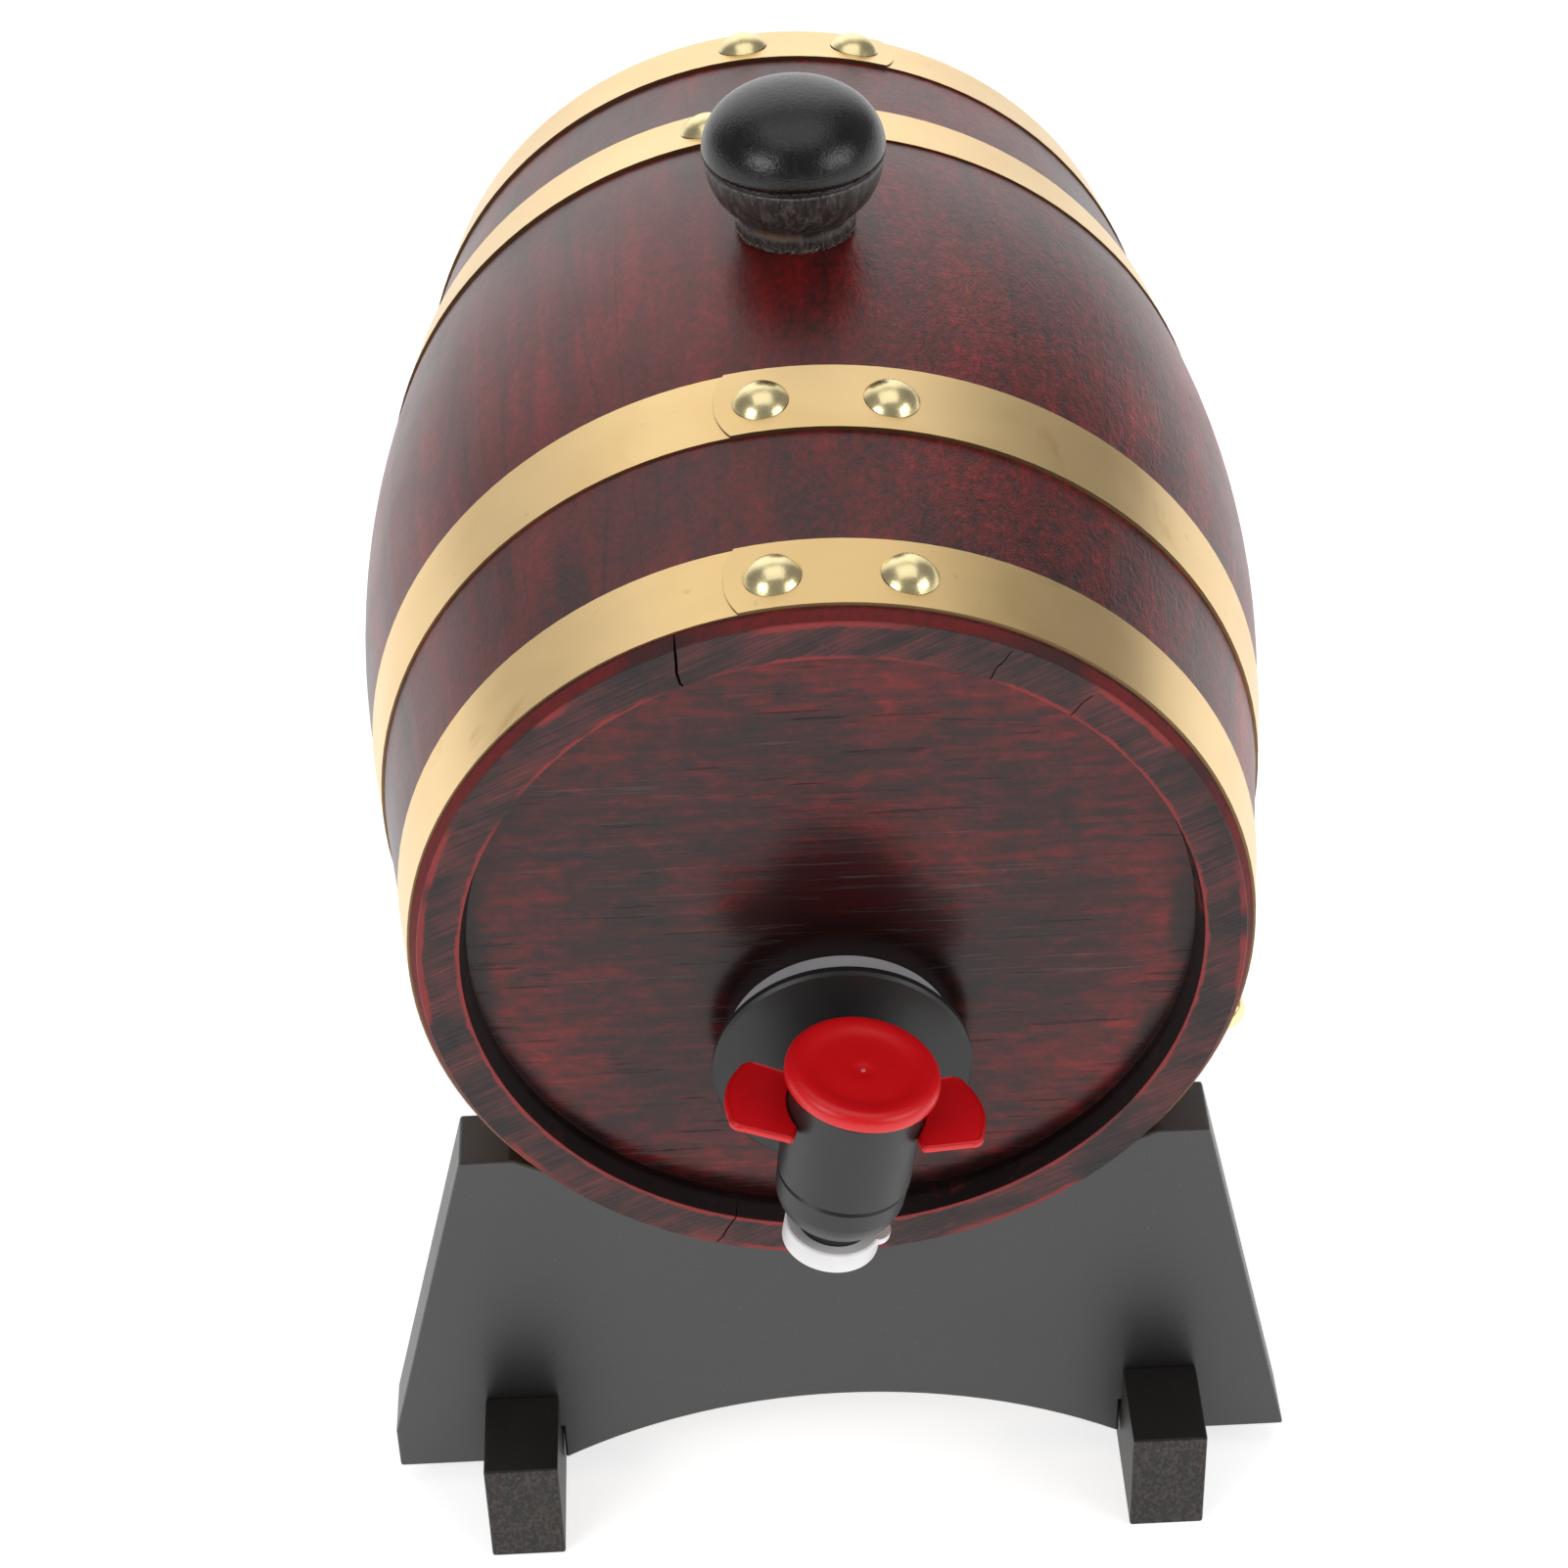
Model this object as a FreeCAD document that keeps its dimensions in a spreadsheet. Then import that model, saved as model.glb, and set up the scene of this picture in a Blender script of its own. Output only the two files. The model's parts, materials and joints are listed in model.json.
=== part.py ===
import FreeCAD
import Part
import math
import os
import Sketcher
from FreeCAD import Placement, Rotation, Vector

# Table-top wine barrel on a half-lapped stand, with a press tap and a turned bung stopper.
#
# Millimetres, +Z up, front of the barrel towards -Y. The origin lies on the ground under the
# middle of the whole assembly's length. Angles round the barrel run from its top towards +X.

SIZES = {
    # stand
    "board_thickness": 12.3,
    "board_front_offset": 78.2,
    "board_top": 82.7,
    "board_bottom": 5.55,
    "board_top_half": 65.4,
    "board_bottom_half": 82.4,
    "board_left_kink": 14.8,
    "cradle_half": 56.1,
    "cradle_low": 68.28,
    "cradle_corner_round": 3.0,
    "arch_top": 19.5,
    "rail_half_length": 96.1,
    "rail_tall": 22.9,
    "rail_wide": 13.4,
    "rail_middle": 58.6,
    "lap_level": 14.2,
    "lap_side_gap": 0.35,
    "lap_end_gap": 0.05,
    # barrel shell, sizes measured from its own centre
    "axis_tall": 140.4,
    "half_length": 94.75,
    "end_radius": 66.6,
    "bevel_radius": 67.8,
    "bevel_offset": 93.0,
    "cone_end_radius": 75.75,
    "cone_end_offset": 39.4,
    "bilge_radius": 79.1,
    "inside_radius": 71.2,
    "inside_end_radius": 59.6,
    "inside_end_offset": 82.2,
    "chime_mouth_radius": 59.9,
    "chime_root_radius": 58.9,
    "croze_radius": 60.6,
    "croze_gap": 0.05,
    "head_offset": 89.75,
    "head_thickness": 6.0,
    "head_radius": 60.5,
    "head_upper_joint": 23.0,
    "head_lower_joint": 41.5,
    "joint_gap": 0.02,
    # hoops and their fixings
    "hoop_thickness": 0.4,
    "chime_hoop_near": 78.5,
    "chime_hoop_far": 92.4,
    "bilge_hoop_near": 38.5,
    "bilge_hoop_far": 53.1,
    "lap_rise": 0.35,
    "lap_end_round": 13.0,
    "lap_end_middle": 7.2,
    "lap_overhang": 7.8,
    "lap_buried_turn": 84.0,
    "rivet_spacing": 20.8,
    "rivet_head_radius": 4.55,
    "rivet_head_tall": 2.5,
    "rivet_shank_radius": 1.5,
    "rivet_shank_gap": 0.05,
    "rivet_hole_long": 8.0,
    "nail_head_radius": 2.9,
    "nail_head_tall": 2.0,
    "nail_shank_radius": 0.8,
    "nail_shank_long": 6.0,
    # bung stopper, heights measured from the barrel axis
    "bung_back": 2.4,
    "stopper_top": 104.2,
    "stopper_equator": 94.6,
    "stopper_radius": 15.4,
    "stopper_side_round": 7.0,
    "stopper_groove": 91.9,
    "stopper_neck_top": 84.2,
    "stopper_neck_radius": 10.2,
    "stopper_plug_top_radius": 9.9,
    "stopper_plug_radius": 8.7,
    "stopper_plug_bottom": 63.0,
    "stopper_edge": 0.8,
    "bung_clearance": 0.06,
    "bung_hole_tall": 20.0,
    # tap, sizes measured from where its vertical and horizontal axes cross
    "tap_right": 1.05,
    "tap_drop": 22.8,
    "tap_reach": 114.13,
    "tap_lean": 9.2,
    "flange_radius": 21.4,
    "flange_front": 17.4,
    "flange_thickness": 1.6,
    "gland_radius": 19.0,
    "gland_neck_radius": 16.6,
    "gland_inner_radius": 14.56,
    "gland_hole_clearance": 0.05,
    "gland_inside_reach": 10.5,
    "spigot_radius": 14.5,
    "spigot_bore_radius": 11.5,
    "spigot_reach": 13.0,
    "arm_radius": 6.3,
    "inlet_radius": 4.0,
    "chamber_radius": 10.9,
    "chamber_bore_radius": 8.5,
    "chamber_top": 13.8,
    "chamber_crease": 5.2,
    "shoulder_start": 9.4,
    "shoulder_bottom": 14.0,
    "shoulder_radius": 7.8,
    "seat_top": 5.6,
    "seat_thickness": 1.4,
    "seat_hole_radius": 5.0,
    "lower_bore_radius": 7.4,
    "lower_bore_bottom": 11.6,
    "nozzle_radius": 5.85,
    "nozzle_bore_radius": 4.4,
    "nozzle_bottom": 19.4,
    "cap_radius": 7.95,
    "cap_top": 17.1,
    "cap_bottom": 21.6,
    "cap_wall": 1.2,
    "cap_clearance": 0.07,
    "cap_tab_reach": 9.5,
    "cap_tab_wide": 5.2,
    "cap_tab_turn": -8.0,
    "button_radius": 12.5,
    "button_top": 17.4,
    "button_bottom": 14.4,
    "button_round": 1.8,
    "button_recess_radius": 11.25,
    "button_recess_top": 15.8,
    "button_dish": 1.0,
    "button_dish_radius": 9.2,
    "button_guide_radius": 8.43,
    "button_guide_inner": 7.1,
    "button_guide_bottom": 7.0,
    "stem_radius": 1.5,
    "seal_radius": 6.4,
    "seal_thickness": 1.5,
    "wing_top": 8.4,
    "wing_thickness": 1.6,
    "wing_reach": 20.9,
    "wing_root": 10.4,
    "wing_front": 8.2,
    "wing_back": 9.2,
    "wing_bulge": 1.6,
    "clip_thickness": 1.3,
    "clip_clearance": 0.05,
    "clip_front_turn": 30.0,
    "clip_back_turn": 35.0,
}

# angles of the joints between neighbouring staves, which a cooper leaves uneven
STAVE_JOINTS = [-22.8, 26.6, 40.0, 68.0, 97.0, 128.0, 162.0, 195.8, 213.2, 240.0, 268.0, 294.4, 316.0, 337.2]

# each hoop: place along the barrel (-1 front, 1 rear), which pair of stations, lap middle angle
HOOPS = {
    "front_chime_hoop": (-1, "chime_hoop", 2.5),
    "front_bilge_hoop": (-1, "bilge_hoop", 2.1),
    "rear_bilge_hoop": (1, "bilge_hoop", -3.0),
    "rear_chime_hoop": (1, "chime_hoop", 3.1),
}

# the nail that pins each chime hoop to a stave: place along the barrel and angle
HOOP_NAILS = [(-1, 109.5), (1, -109.5)]

CENTRED = "centred"

doc = FreeCAD.newDocument("wine_barrel")
parts = []


def size(alias):
    return SIZES[alias]


def make_sheet():
    sheet = doc.addObject("Spreadsheet::Sheet", "Sizes")
    for row, (alias, value) in enumerate(SIZES.items(), 1):
        sheet.set(f"A{row}", alias)
        sheet.set(f"B{row}", str(value))
        sheet.setAlias(f"B{row}", alias)
    doc.recompute()


def cells(expression):
    """An expression whose bare words are cell aliases, as FreeCAD reads it."""
    words = expression.replace("(", " ( ").replace(")", " ) ").split()
    bound = " ".join("Sizes." + word if word in SIZES else word for word in words)
    return bound.replace("cos (", "cos(").replace("sin (", "sin(")


def value_of(expression):
    """The number that an expression of cell aliases stands for."""
    return float(doc.getObject("Sizes").evalExpression(cells(expression)))


def new_body(label, keep=True):
    body = doc.addObject("PartDesign::Body", label)
    body.Label = label
    if keep:
        parts.append(body)
    return body


def origin_plane(body, role):
    for feature in body.Origin.OriginFeatures:
        if feature.Role == role:
            return feature
    raise ValueError(role)


def new_sketch(body, name, role):
    sketch = body.newObject("Sketcher::SketchObject", name)
    sketch.AttachmentSupport = [(origin_plane(body, role), "")]
    sketch.MapMode = "FlatFace"
    return sketch


def nearest_end(sketch, index, point):
    """1 or 2: the end of a sketch curve that lies at a point."""
    ends = [sketch.getPoint(index, 1), sketch.getPoint(index, 2)]
    return 1 if (ends[0] - point).Length <= (ends[1] - point).Length else 2


def pin_point(sketch, index, end, across, along):
    """Hold a curve's end at a place given by two expressions."""
    if value_of(across) == 0.0:
        sketch.addConstraint(Sketcher.Constraint("PointOnObject", index, end, -2))
    else:
        place = Sketcher.Constraint("DistanceX", -1, 1, index, end, value_of(across))
        sketch.setExpression(f"Constraints[{sketch.addConstraint(place)}]", cells(across))
    if value_of(along) == 0.0:
        sketch.addConstraint(Sketcher.Constraint("PointOnObject", index, end, -1))
    else:
        place = Sketcher.Constraint("DistanceY", -1, 1, index, end, value_of(along))
        sketch.setExpression(f"Constraints[{sketch.addConstraint(place)}]", cells(along))


def outline(body, name, role, corners, bows=None):
    """A closed sketch. Corners are pairs of expressions. bows makes a side an arc: it gives the
    arc's middle point, or CENTRED where the arc's centre lies on the sketch's vertical axis."""
    sketch = new_sketch(body, name, role)
    spots = [Vector(value_of(x), value_of(y), 0) for x, y in corners]
    sides = {}
    for side, start in enumerate(spots):
        finish = spots[(side + 1) % len(spots)]
        if bows and side in bows:
            middle = bow_middle(start, finish, bows[side])
            sides[side] = sketch.addGeometry(Part.Arc(start, middle, finish), False)
        else:
            sides[side] = sketch.addGeometry(Part.LineSegment(start, finish), False)
    for side, index in sides.items():
        after = sides[(side + 1) % len(spots)]
        corner = spots[(side + 1) % len(spots)]
        joint = (index, nearest_end(sketch, index, corner), after, nearest_end(sketch, after, corner))
        sketch.addConstraint(Sketcher.Constraint("Coincident", *joint))
    for side, (across, along) in enumerate(corners):
        pin_point(sketch, sides[side], nearest_end(sketch, sides[side], spots[side]), across, along)
    for side in bows or {}:
        hold_bow(sketch, sides[side], bows[side])
    return sketch


def bow_middle(start, finish, bow):
    if bow != CENTRED:
        return Vector(value_of(bow[0]), value_of(bow[1]), 0)
    height = (start.dot(start) - finish.dot(finish)) / (2 * (start.y - finish.y))
    centre = Vector(0, height, 0)
    outward = (start - centre) + (finish - centre)
    return centre + outward.normalize() * (start - centre).Length


def hold_bow(sketch, index, middle):
    """Make an arc pass through the point that two expressions give, or centre it on the axis."""
    if middle == CENTRED:
        sketch.addConstraint(Sketcher.Constraint("PointOnObject", index, 3, -2))
        return
    place = Vector(value_of(middle[0]), value_of(middle[1]), 0)
    point = sketch.addGeometry(Part.Point(place), True)
    pin_point(sketch, point, 1, *middle)
    sketch.addConstraint(Sketcher.Constraint("PointOnObject", point, 1, index))


def spin(body, sketch, axis, angle="360", kind="Revolution"):
    """Turn a sketch about its own H_Axis or V_Axis, adding or (Groove) cutting, and check that it did."""
    before = body.Shape.Volume if kind == "Groove" else 0.0
    feature = body.newObject("PartDesign::" + kind, sketch.Name + "_turned")
    feature.Profile = sketch
    feature.ReferenceAxis = (sketch, [axis])
    feature.setExpression("Angle", cells(angle))
    sketch.Visibility = False
    doc.recompute()
    if kind == "Groove" and body.Shape.Volume >= before - 1e-6:
        raise ValueError(feature.Name + " cuts nothing")
    return feature


def pad(body, sketch, length, midplane=True):
    feature = body.newObject("PartDesign::Pad", sketch.Name + "_padded")
    feature.Profile = sketch
    feature.setExpression("Length", cells(length))
    feature.Midplane = midplane
    doc.recompute()
    return feature


def place(thing, across, along, upward, turn=None):
    """Stand an object at three expressions, turned by a Rotation first."""
    thing.Placement = Placement(Vector(0, 0, 0), turn or Rotation())
    thing.setExpression("Placement.Base.x", cells(across))
    thing.setExpression("Placement.Base.y", cells(along))
    thing.setExpression("Placement.Base.z", cells(upward))


BARREL_Y = "( tap_reach + button_radius - rail_half_length ) / 2"


def on_barrel(thing, turn=None):
    place(thing, "0", BARREL_Y, "axis_tall", turn)


def about_barrel(angle):
    return Rotation(Vector(0, 1, 0), angle)


def on_tap(thing):
    lean = Rotation(Vector(0, 1, 0), size("tap_lean"))
    place(thing, "tap_right", BARREL_Y + " - tap_reach", "axis_tall - tap_drop", lean)


def soften(body, radius, chosen):
    """Round the edges that the test picks."""
    names = [f"Edge{i}" for i, edge in enumerate(body.Shape.Edges, 1) if chosen(edge)]
    base = body.Tip
    feature = body.newObject("PartDesign::Fillet", body.Name + "_soft")
    feature.Base = (base, names)
    feature.setExpression("Radius", cells(radius))
    doc.recompute()
    return feature


# ---------------------------------------------------------------- stand

def make_cradle_board(label, side):
    body = new_body(label)
    notch_out = "( rail_middle + rail_wide / 2 + lap_side_gap )"
    notch_in = "( rail_middle - rail_wide / 2 - lap_side_gap )"
    corners = [
        ("0 - board_bottom_half", "board_bottom"),
        ("0 - " + notch_out, "board_bottom"),
        ("0 - " + notch_out, "lap_level"),
        ("0 - " + notch_in, "lap_level"),
        ("0 - " + notch_in, "board_bottom"),
        (notch_in, "board_bottom"),
        (notch_in, "lap_level"),
        (notch_out, "lap_level"),
        (notch_out, "board_bottom"),
        ("board_bottom_half", "board_bottom"),
        ("board_top_half", "board_top"),
        ("cradle_half", "board_top"),
        ("0 - cradle_half", "board_top"),
        ("0 - board_top_half", "board_top"),
        ("0 - board_bottom_half", "board_left_kink"),
    ]
    bows = {4: ("0", "arch_top"), 11: ("0", "cradle_low")}
    pad(body, outline(body, label + "_face", "XZ_Plane", corners, bows), "board_thickness")

    def cradle_corner(edge):
        middle = edge.CenterOfMass
        return abs(abs(middle.x) - size("cradle_half")) < 0.1 and abs(middle.z - size("board_top")) < 0.1 \
            and abs(edge.Length - size("board_thickness")) < 0.1

    soften(body, "cradle_corner_round", cradle_corner)
    middle = "( board_front_offset - board_thickness / 2 )"
    place(body, "0", BARREL_Y + (" - " if side < 0 else " + ") + middle, "0")


def make_rail(label, side):
    body = new_body(label)
    far = "( board_front_offset + lap_end_gap )"
    near = "( board_front_offset - board_thickness - lap_end_gap )"
    corners = [
        ("0 - rail_half_length", "0"),
        ("rail_half_length", "0"),
        ("rail_half_length", "rail_tall"),
        (far, "rail_tall"),
        (far, "lap_level"),
        (near, "lap_level"),
        (near, "rail_tall"),
        ("0 - " + near, "rail_tall"),
        ("0 - " + near, "lap_level"),
        ("0 - " + far, "lap_level"),
        ("0 - " + far, "rail_tall"),
        ("0 - rail_half_length", "rail_tall"),
    ]
    pad(body, outline(body, label + "_side", "YZ_Plane", corners), "rail_wide")
    place(body, "rail_middle" if side > 0 else "0 - rail_middle", BARREL_Y, "0")


# ---------------------------------------------------------------- barrel

def stave_outline(body, label):
    """Half of the shell's section, in (along, outward), the same at both ends."""
    half = [
        ("half_length", "chime_mouth_radius"),
        ("half_length", "end_radius"),
        ("bevel_offset", "bevel_radius"),
        ("cone_end_offset", "cone_end_radius"),
    ]
    inner = [
        ("inside_end_offset", "inside_end_radius"),
        ("head_offset - head_thickness - croze_gap", "chime_root_radius"),
        ("head_offset - head_thickness - croze_gap", "croze_radius"),
        ("head_offset + croze_gap", "croze_radius"),
        ("head_offset + croze_gap", "chime_root_radius"),
    ]
    rear = half
    front = [("0 - ( " + along + " )", outward) for along, outward in reversed(half)]
    front_inner = [("0 - ( " + along + " )", outward) for along, outward in reversed(inner)]
    corners = rear + front + front_inner + inner
    outer_side = len(rear) - 1
    inner_side = len(rear) + len(front) + len(front_inner) - 1
    bows = {outer_side: ("0", "bilge_radius"), inner_side: ("0", "inside_radius")}
    return outline(body, label + "_section", "YZ_Plane", corners, bows)


def make_stave(label, begin, finish, keep=True):
    body = new_body(label, keep)
    gap = math.degrees(size("joint_gap") / size("bilge_radius"))
    spin(body, stave_outline(body, label), "H_Axis", f"{finish - begin - gap:.4f}")
    on_barrel(body, about_barrel(begin + gap / 2))
    return body


def make_bung_stave():
    """The top stave, bored with the tapered hole that the stopper fits."""
    stave = make_stave("bung_stave_blank", STAVE_JOINTS[0], STAVE_JOINTS[1], keep=False)
    hole = doc.addObject("Part::Cone", "bung_hole")
    drop = "( stopper_plug_top_radius - stopper_plug_radius ) / ( bilge_radius - stopper_plug_bottom )"
    hole.setExpression("Radius1", cells("stopper_plug_radius + bung_clearance"))
    hole.setExpression("Radius2", cells("stopper_plug_radius + bung_clearance + bung_hole_tall * " + drop))
    hole.setExpression("Height", cells("bung_hole_tall"))
    place(hole, "0", BARREL_Y + " + bung_back", "axis_tall + stopper_plug_bottom")
    cut = doc.addObject("Part::Cut", "bung_stave")
    cut.Label = "bung_stave"
    cut.Base = stave
    cut.Tool = hole
    doc.recompute()
    if cut.Shape.Volume >= stave.Shape.Volume - 1.0:
        raise ValueError("the bung hole cuts nothing")
    parts.append(cut)


def make_staves():
    make_bung_stave()
    for number in range(1, len(STAVE_JOINTS) - 1):
        make_stave(f"stave_{number + 1:02d}", STAVE_JOINTS[number], STAVE_JOINTS[number + 1])


def make_head_board(label, side, low, high, tap_hole=False):
    """One board of a round head: the disc between two heights, with half a joint gap at each."""
    disc = doc.addObject("Part::Cylinder", label + "_disc")
    disc.setExpression("Radius", cells("head_radius"))
    disc.setExpression("Height", cells("head_thickness"))
    upright = Rotation(Vector(1, 0, 0), 90 * side)
    start = " - head_offset" if side < 0 else " + head_offset"
    place(disc, "0", BARREL_Y + start, "axis_tall", upright)
    strip = doc.addObject("Part::Box", label + "_strip")
    strip.setExpression("Length", cells("3 * head_radius"))
    strip.setExpression("Width", cells("3 * head_thickness"))
    strip.setExpression("Height", cells("( " + high + " ) - ( " + low + " ) - joint_gap"))
    middle = " - head_offset - head_thickness" if side < 0 else " + head_offset - 2 * head_thickness"
    place(strip, "0 - 1.5 * head_radius", BARREL_Y + middle, "axis_tall + joint_gap / 2 + " + low)
    board = doc.addObject("Part::Common", label + "_plain" if tap_hole else label)
    board.Base = disc
    board.Tool = strip
    if tap_hole:
        board = bore_for_gland(board, label)
    board.Label = label
    parts.append(board)


def bore_for_gland(board, label):
    hole = doc.addObject("Part::Cylinder", "gland_hole")
    hole.setExpression("Radius", cells("gland_neck_radius + gland_hole_clearance"))
    hole.setExpression("Height", cells("6 * head_thickness"))
    place(hole, "tap_right", BARREL_Y + " - head_offset + 3 * head_thickness",
          "axis_tall - tap_drop", Rotation(Vector(1, 0, 0), 90))
    cut = doc.addObject("Part::Cut", label)
    cut.Base = board
    cut.Tool = hole
    return cut


def make_heads():
    for end, side in (("front", -1), ("rear", 1)):
        make_head_board(end + "_head_upper_board", side, "head_upper_joint", "2 * head_radius")
        make_head_board(end + "_head_middle_board", side, "( 0 - head_lower_joint )", "head_upper_joint",
                        tap_hole=side < 0)
        make_head_board(end + "_head_lower_board", side, "( 0 - 2 * head_radius )",
                        "( 0 - head_lower_joint )")
    doc.recompute()


def shell_radius(offset):
    """Outer radius of the wood at a distance along the barrel, on its straight tapered ends."""
    return size("bevel_radius") + (size("bevel_offset") - offset) * math.tan(math.radians(shell_slope()))


def shell_slope():
    """Taper of the shell's straight ends, in degrees."""
    rise = size("cone_end_radius") - size("bevel_radius")
    return math.degrees(math.atan2(rise, size("bevel_offset") - size("cone_end_offset")))


def band(near, far, lift, thickness, begin, finish, shift=0.0, toward=0.0):
    """Part of a tapered ring on the shell, its axis shifted sideways towards an angle."""
    low = shell_radius(far) + lift
    high = shell_radius(near) + lift
    section = Part.makePolygon([
        Vector(0, far, low), Vector(0, far, low + thickness),
        Vector(0, near, high + thickness), Vector(0, near, high), Vector(0, far, low)])
    ring = Part.Face(section).revolve(Vector(0, 0, 0), Vector(0, 1, 0), finish - begin)
    ring.rotate(Vector(0, 0, 0), Vector(0, 1, 0), begin)
    way = math.radians(toward)
    ring.translate(Vector(shift * math.sin(way), 0, shift * math.cos(way)))
    return ring


def lap_end_cutter(near, angle, turned):
    """What lies beyond the single arc that a hoop's free end is cut to."""
    radius = size("lap_end_round")
    middle = near + size("lap_end_middle")
    width = 4 * radius
    slab = Part.makeBox(radius, width, width, Vector(0, middle - width / 2, 0))
    slab = slab.cut(Part.makeCylinder(radius, 2 * width, Vector(radius, middle, -width / 2)))
    if turned < 0:
        slab = slab.mirror(Vector(0, 0, 0), Vector(1, 0, 0))
    slab.translate(Vector(0, 0, shell_radius(near) - width / 2))
    slab.rotate(Vector(0, 0, 0), Vector(0, 1, 0), angle)
    return slab


def make_hoop(label):
    """A riveted band: a ring, and the free end that laps over it and sinks back to the wood."""
    side, station, middle = HOOPS[label]
    near, far = size(station + "_near"), size(station + "_far")
    turned = -side
    thickness = size("hoop_thickness")
    reach = math.degrees((size("rivet_spacing") / 2 + size("lap_overhang")) / shell_radius(near))
    ring = band(near, far, 0.0, thickness, 0, 360)
    free_end = middle - turned * reach
    buried = middle + turned * size("lap_buried_turn")
    lap = band(near, far, 0.0, thickness, min(free_end, buried), max(free_end, buried),
               size("lap_rise"), middle)
    shape = ring.fuse(lap.cut(lap_end_cutter(near, free_end, turned)))
    for hole in rivet_shanks(near, far, middle):
        shape = shape.cut(hole)
    if side < 0:
        shape = shape.mirror(Vector(0, 0, 0), Vector(0, 1, 0))
    if station == "chime_hoop":
        for nail_side, angle in HOOP_NAILS:
            if nail_side == side:
                shape = shape.cut(nail_shank(nail_side, angle))
    hoop = doc.addObject("Part::Feature", label)
    hoop.Label = label
    hoop.Shape = shape
    on_barrel(hoop)
    parts.append(hoop)


def stud_frame(offset, angle, lift):
    """Placement of a stud's foot above the shell, its axis square to the tapered wood."""
    tilt = Rotation(Vector(1, 0, 0), -shell_slope())
    rise = tilt.multVec(Vector(0, 0, lift * math.cos(math.radians(shell_slope()))))
    outward = Placement(Vector(0, offset, shell_radius(offset)) + rise, tilt)
    return Placement(Vector(0, 0, 0), about_barrel(angle)).multiply(outward)


def dome(radius, tall):
    """A low domed head, flat side down on the origin."""
    ball = (radius * radius + tall * tall) / (2 * tall)
    head = Part.makeSphere(ball, Vector(0, 0, tall - ball))
    return head.common(Part.makeCylinder(radius + 1, tall + 1))


def rivet_angles(near, far, middle):
    half = math.degrees(size("rivet_spacing") / 2 / shell_radius((near + far) / 2))
    return (middle - half, middle + half)


def rivet_shanks(near, far, middle):
    shanks = []
    for angle in rivet_angles(near, far, middle):
        long = size("rivet_hole_long")
        shank = Part.makeCylinder(size("rivet_shank_radius"), long, Vector(0, 0, -long / 2))
        shank.Placement = stud_frame((near + far) / 2, angle, 0)
        shanks.append(shank)
    return shanks


def make_rivets():
    """Two domed rivets through the lap of each hoop, as one group of separate solids."""
    studs = []
    stack = size("lap_rise") + size("hoop_thickness")
    for side, station, middle in HOOPS.values():
        near, far = size(station + "_near"), size(station + "_far")
        for angle in rivet_angles(near, far, middle):
            stud = dome(size("rivet_head_radius"), size("rivet_head_tall"))
            shank_long = stack - size("rivet_shank_gap")
            shank = Part.makeCylinder(size("rivet_shank_radius"), shank_long, Vector(0, 0, -shank_long))
            stud = stud.fuse(shank)
            stud.Placement = stud_frame((near + far) / 2, angle, stack)
            if side < 0:
                stud = stud.mirror(Vector(0, 0, 0), Vector(0, 1, 0))
            studs.append(stud)
    group_feature("hoop_rivets", studs)


def nail_shank(side, angle):
    middle = (size("chime_hoop_near") + size("chime_hoop_far")) / 2
    long = size("nail_shank_long")
    shank = Part.makeCylinder(size("nail_shank_radius"), 2 * long, Vector(0, 0, -long))
    shank.Placement = stud_frame(middle, angle, 0)
    return shank.mirror(Vector(0, 0, 0), Vector(0, 1, 0)) if side < 0 else shank


def make_nails():
    """The small domed nails that pin the chime hoops to a stave."""
    middle = (size("chime_hoop_near") + size("chime_hoop_far")) / 2
    studs = []
    for side, angle in HOOP_NAILS:
        stud = dome(size("nail_head_radius"), size("nail_head_tall"))
        long = size("nail_shank_long")
        stud = stud.fuse(Part.makeCylinder(size("nail_shank_radius"), long, Vector(0, 0, -long)))
        stud.Placement = stud_frame(middle, angle, size("hoop_thickness"))
        if side < 0:
            stud = stud.mirror(Vector(0, 0, 0), Vector(0, 1, 0))
        studs.append(stud)
    group_feature("hoop_nails", studs)


def group_feature(label, solids):
    group = doc.addObject("Part::Feature", label)
    group.Label = label
    group.Shape = Part.makeCompound(solids)
    on_barrel(group)
    parts.append(group)


# ---------------------------------------------------------------- stopper

def oval_dome():
    """Where the dome's tight side arc meets its broad top arc, and the side arc's middle."""
    side = size("stopper_side_round")
    inset = size("stopper_radius") - side
    tall = size("stopper_top") - size("stopper_equator")
    broad = (inset ** 2 + tall ** 2 - side ** 2) / (2 * (tall - side))
    tilt = math.atan2(broad - tall, inset)
    joint = (inset + side * math.cos(tilt), side * math.sin(tilt))
    middle = (inset + side * math.cos(tilt / 2), side * math.sin(tilt / 2))
    return [(f"{across:.5f}", f"stopper_equator + {rise:.5f}") for across, rise in (joint, middle)]


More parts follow.
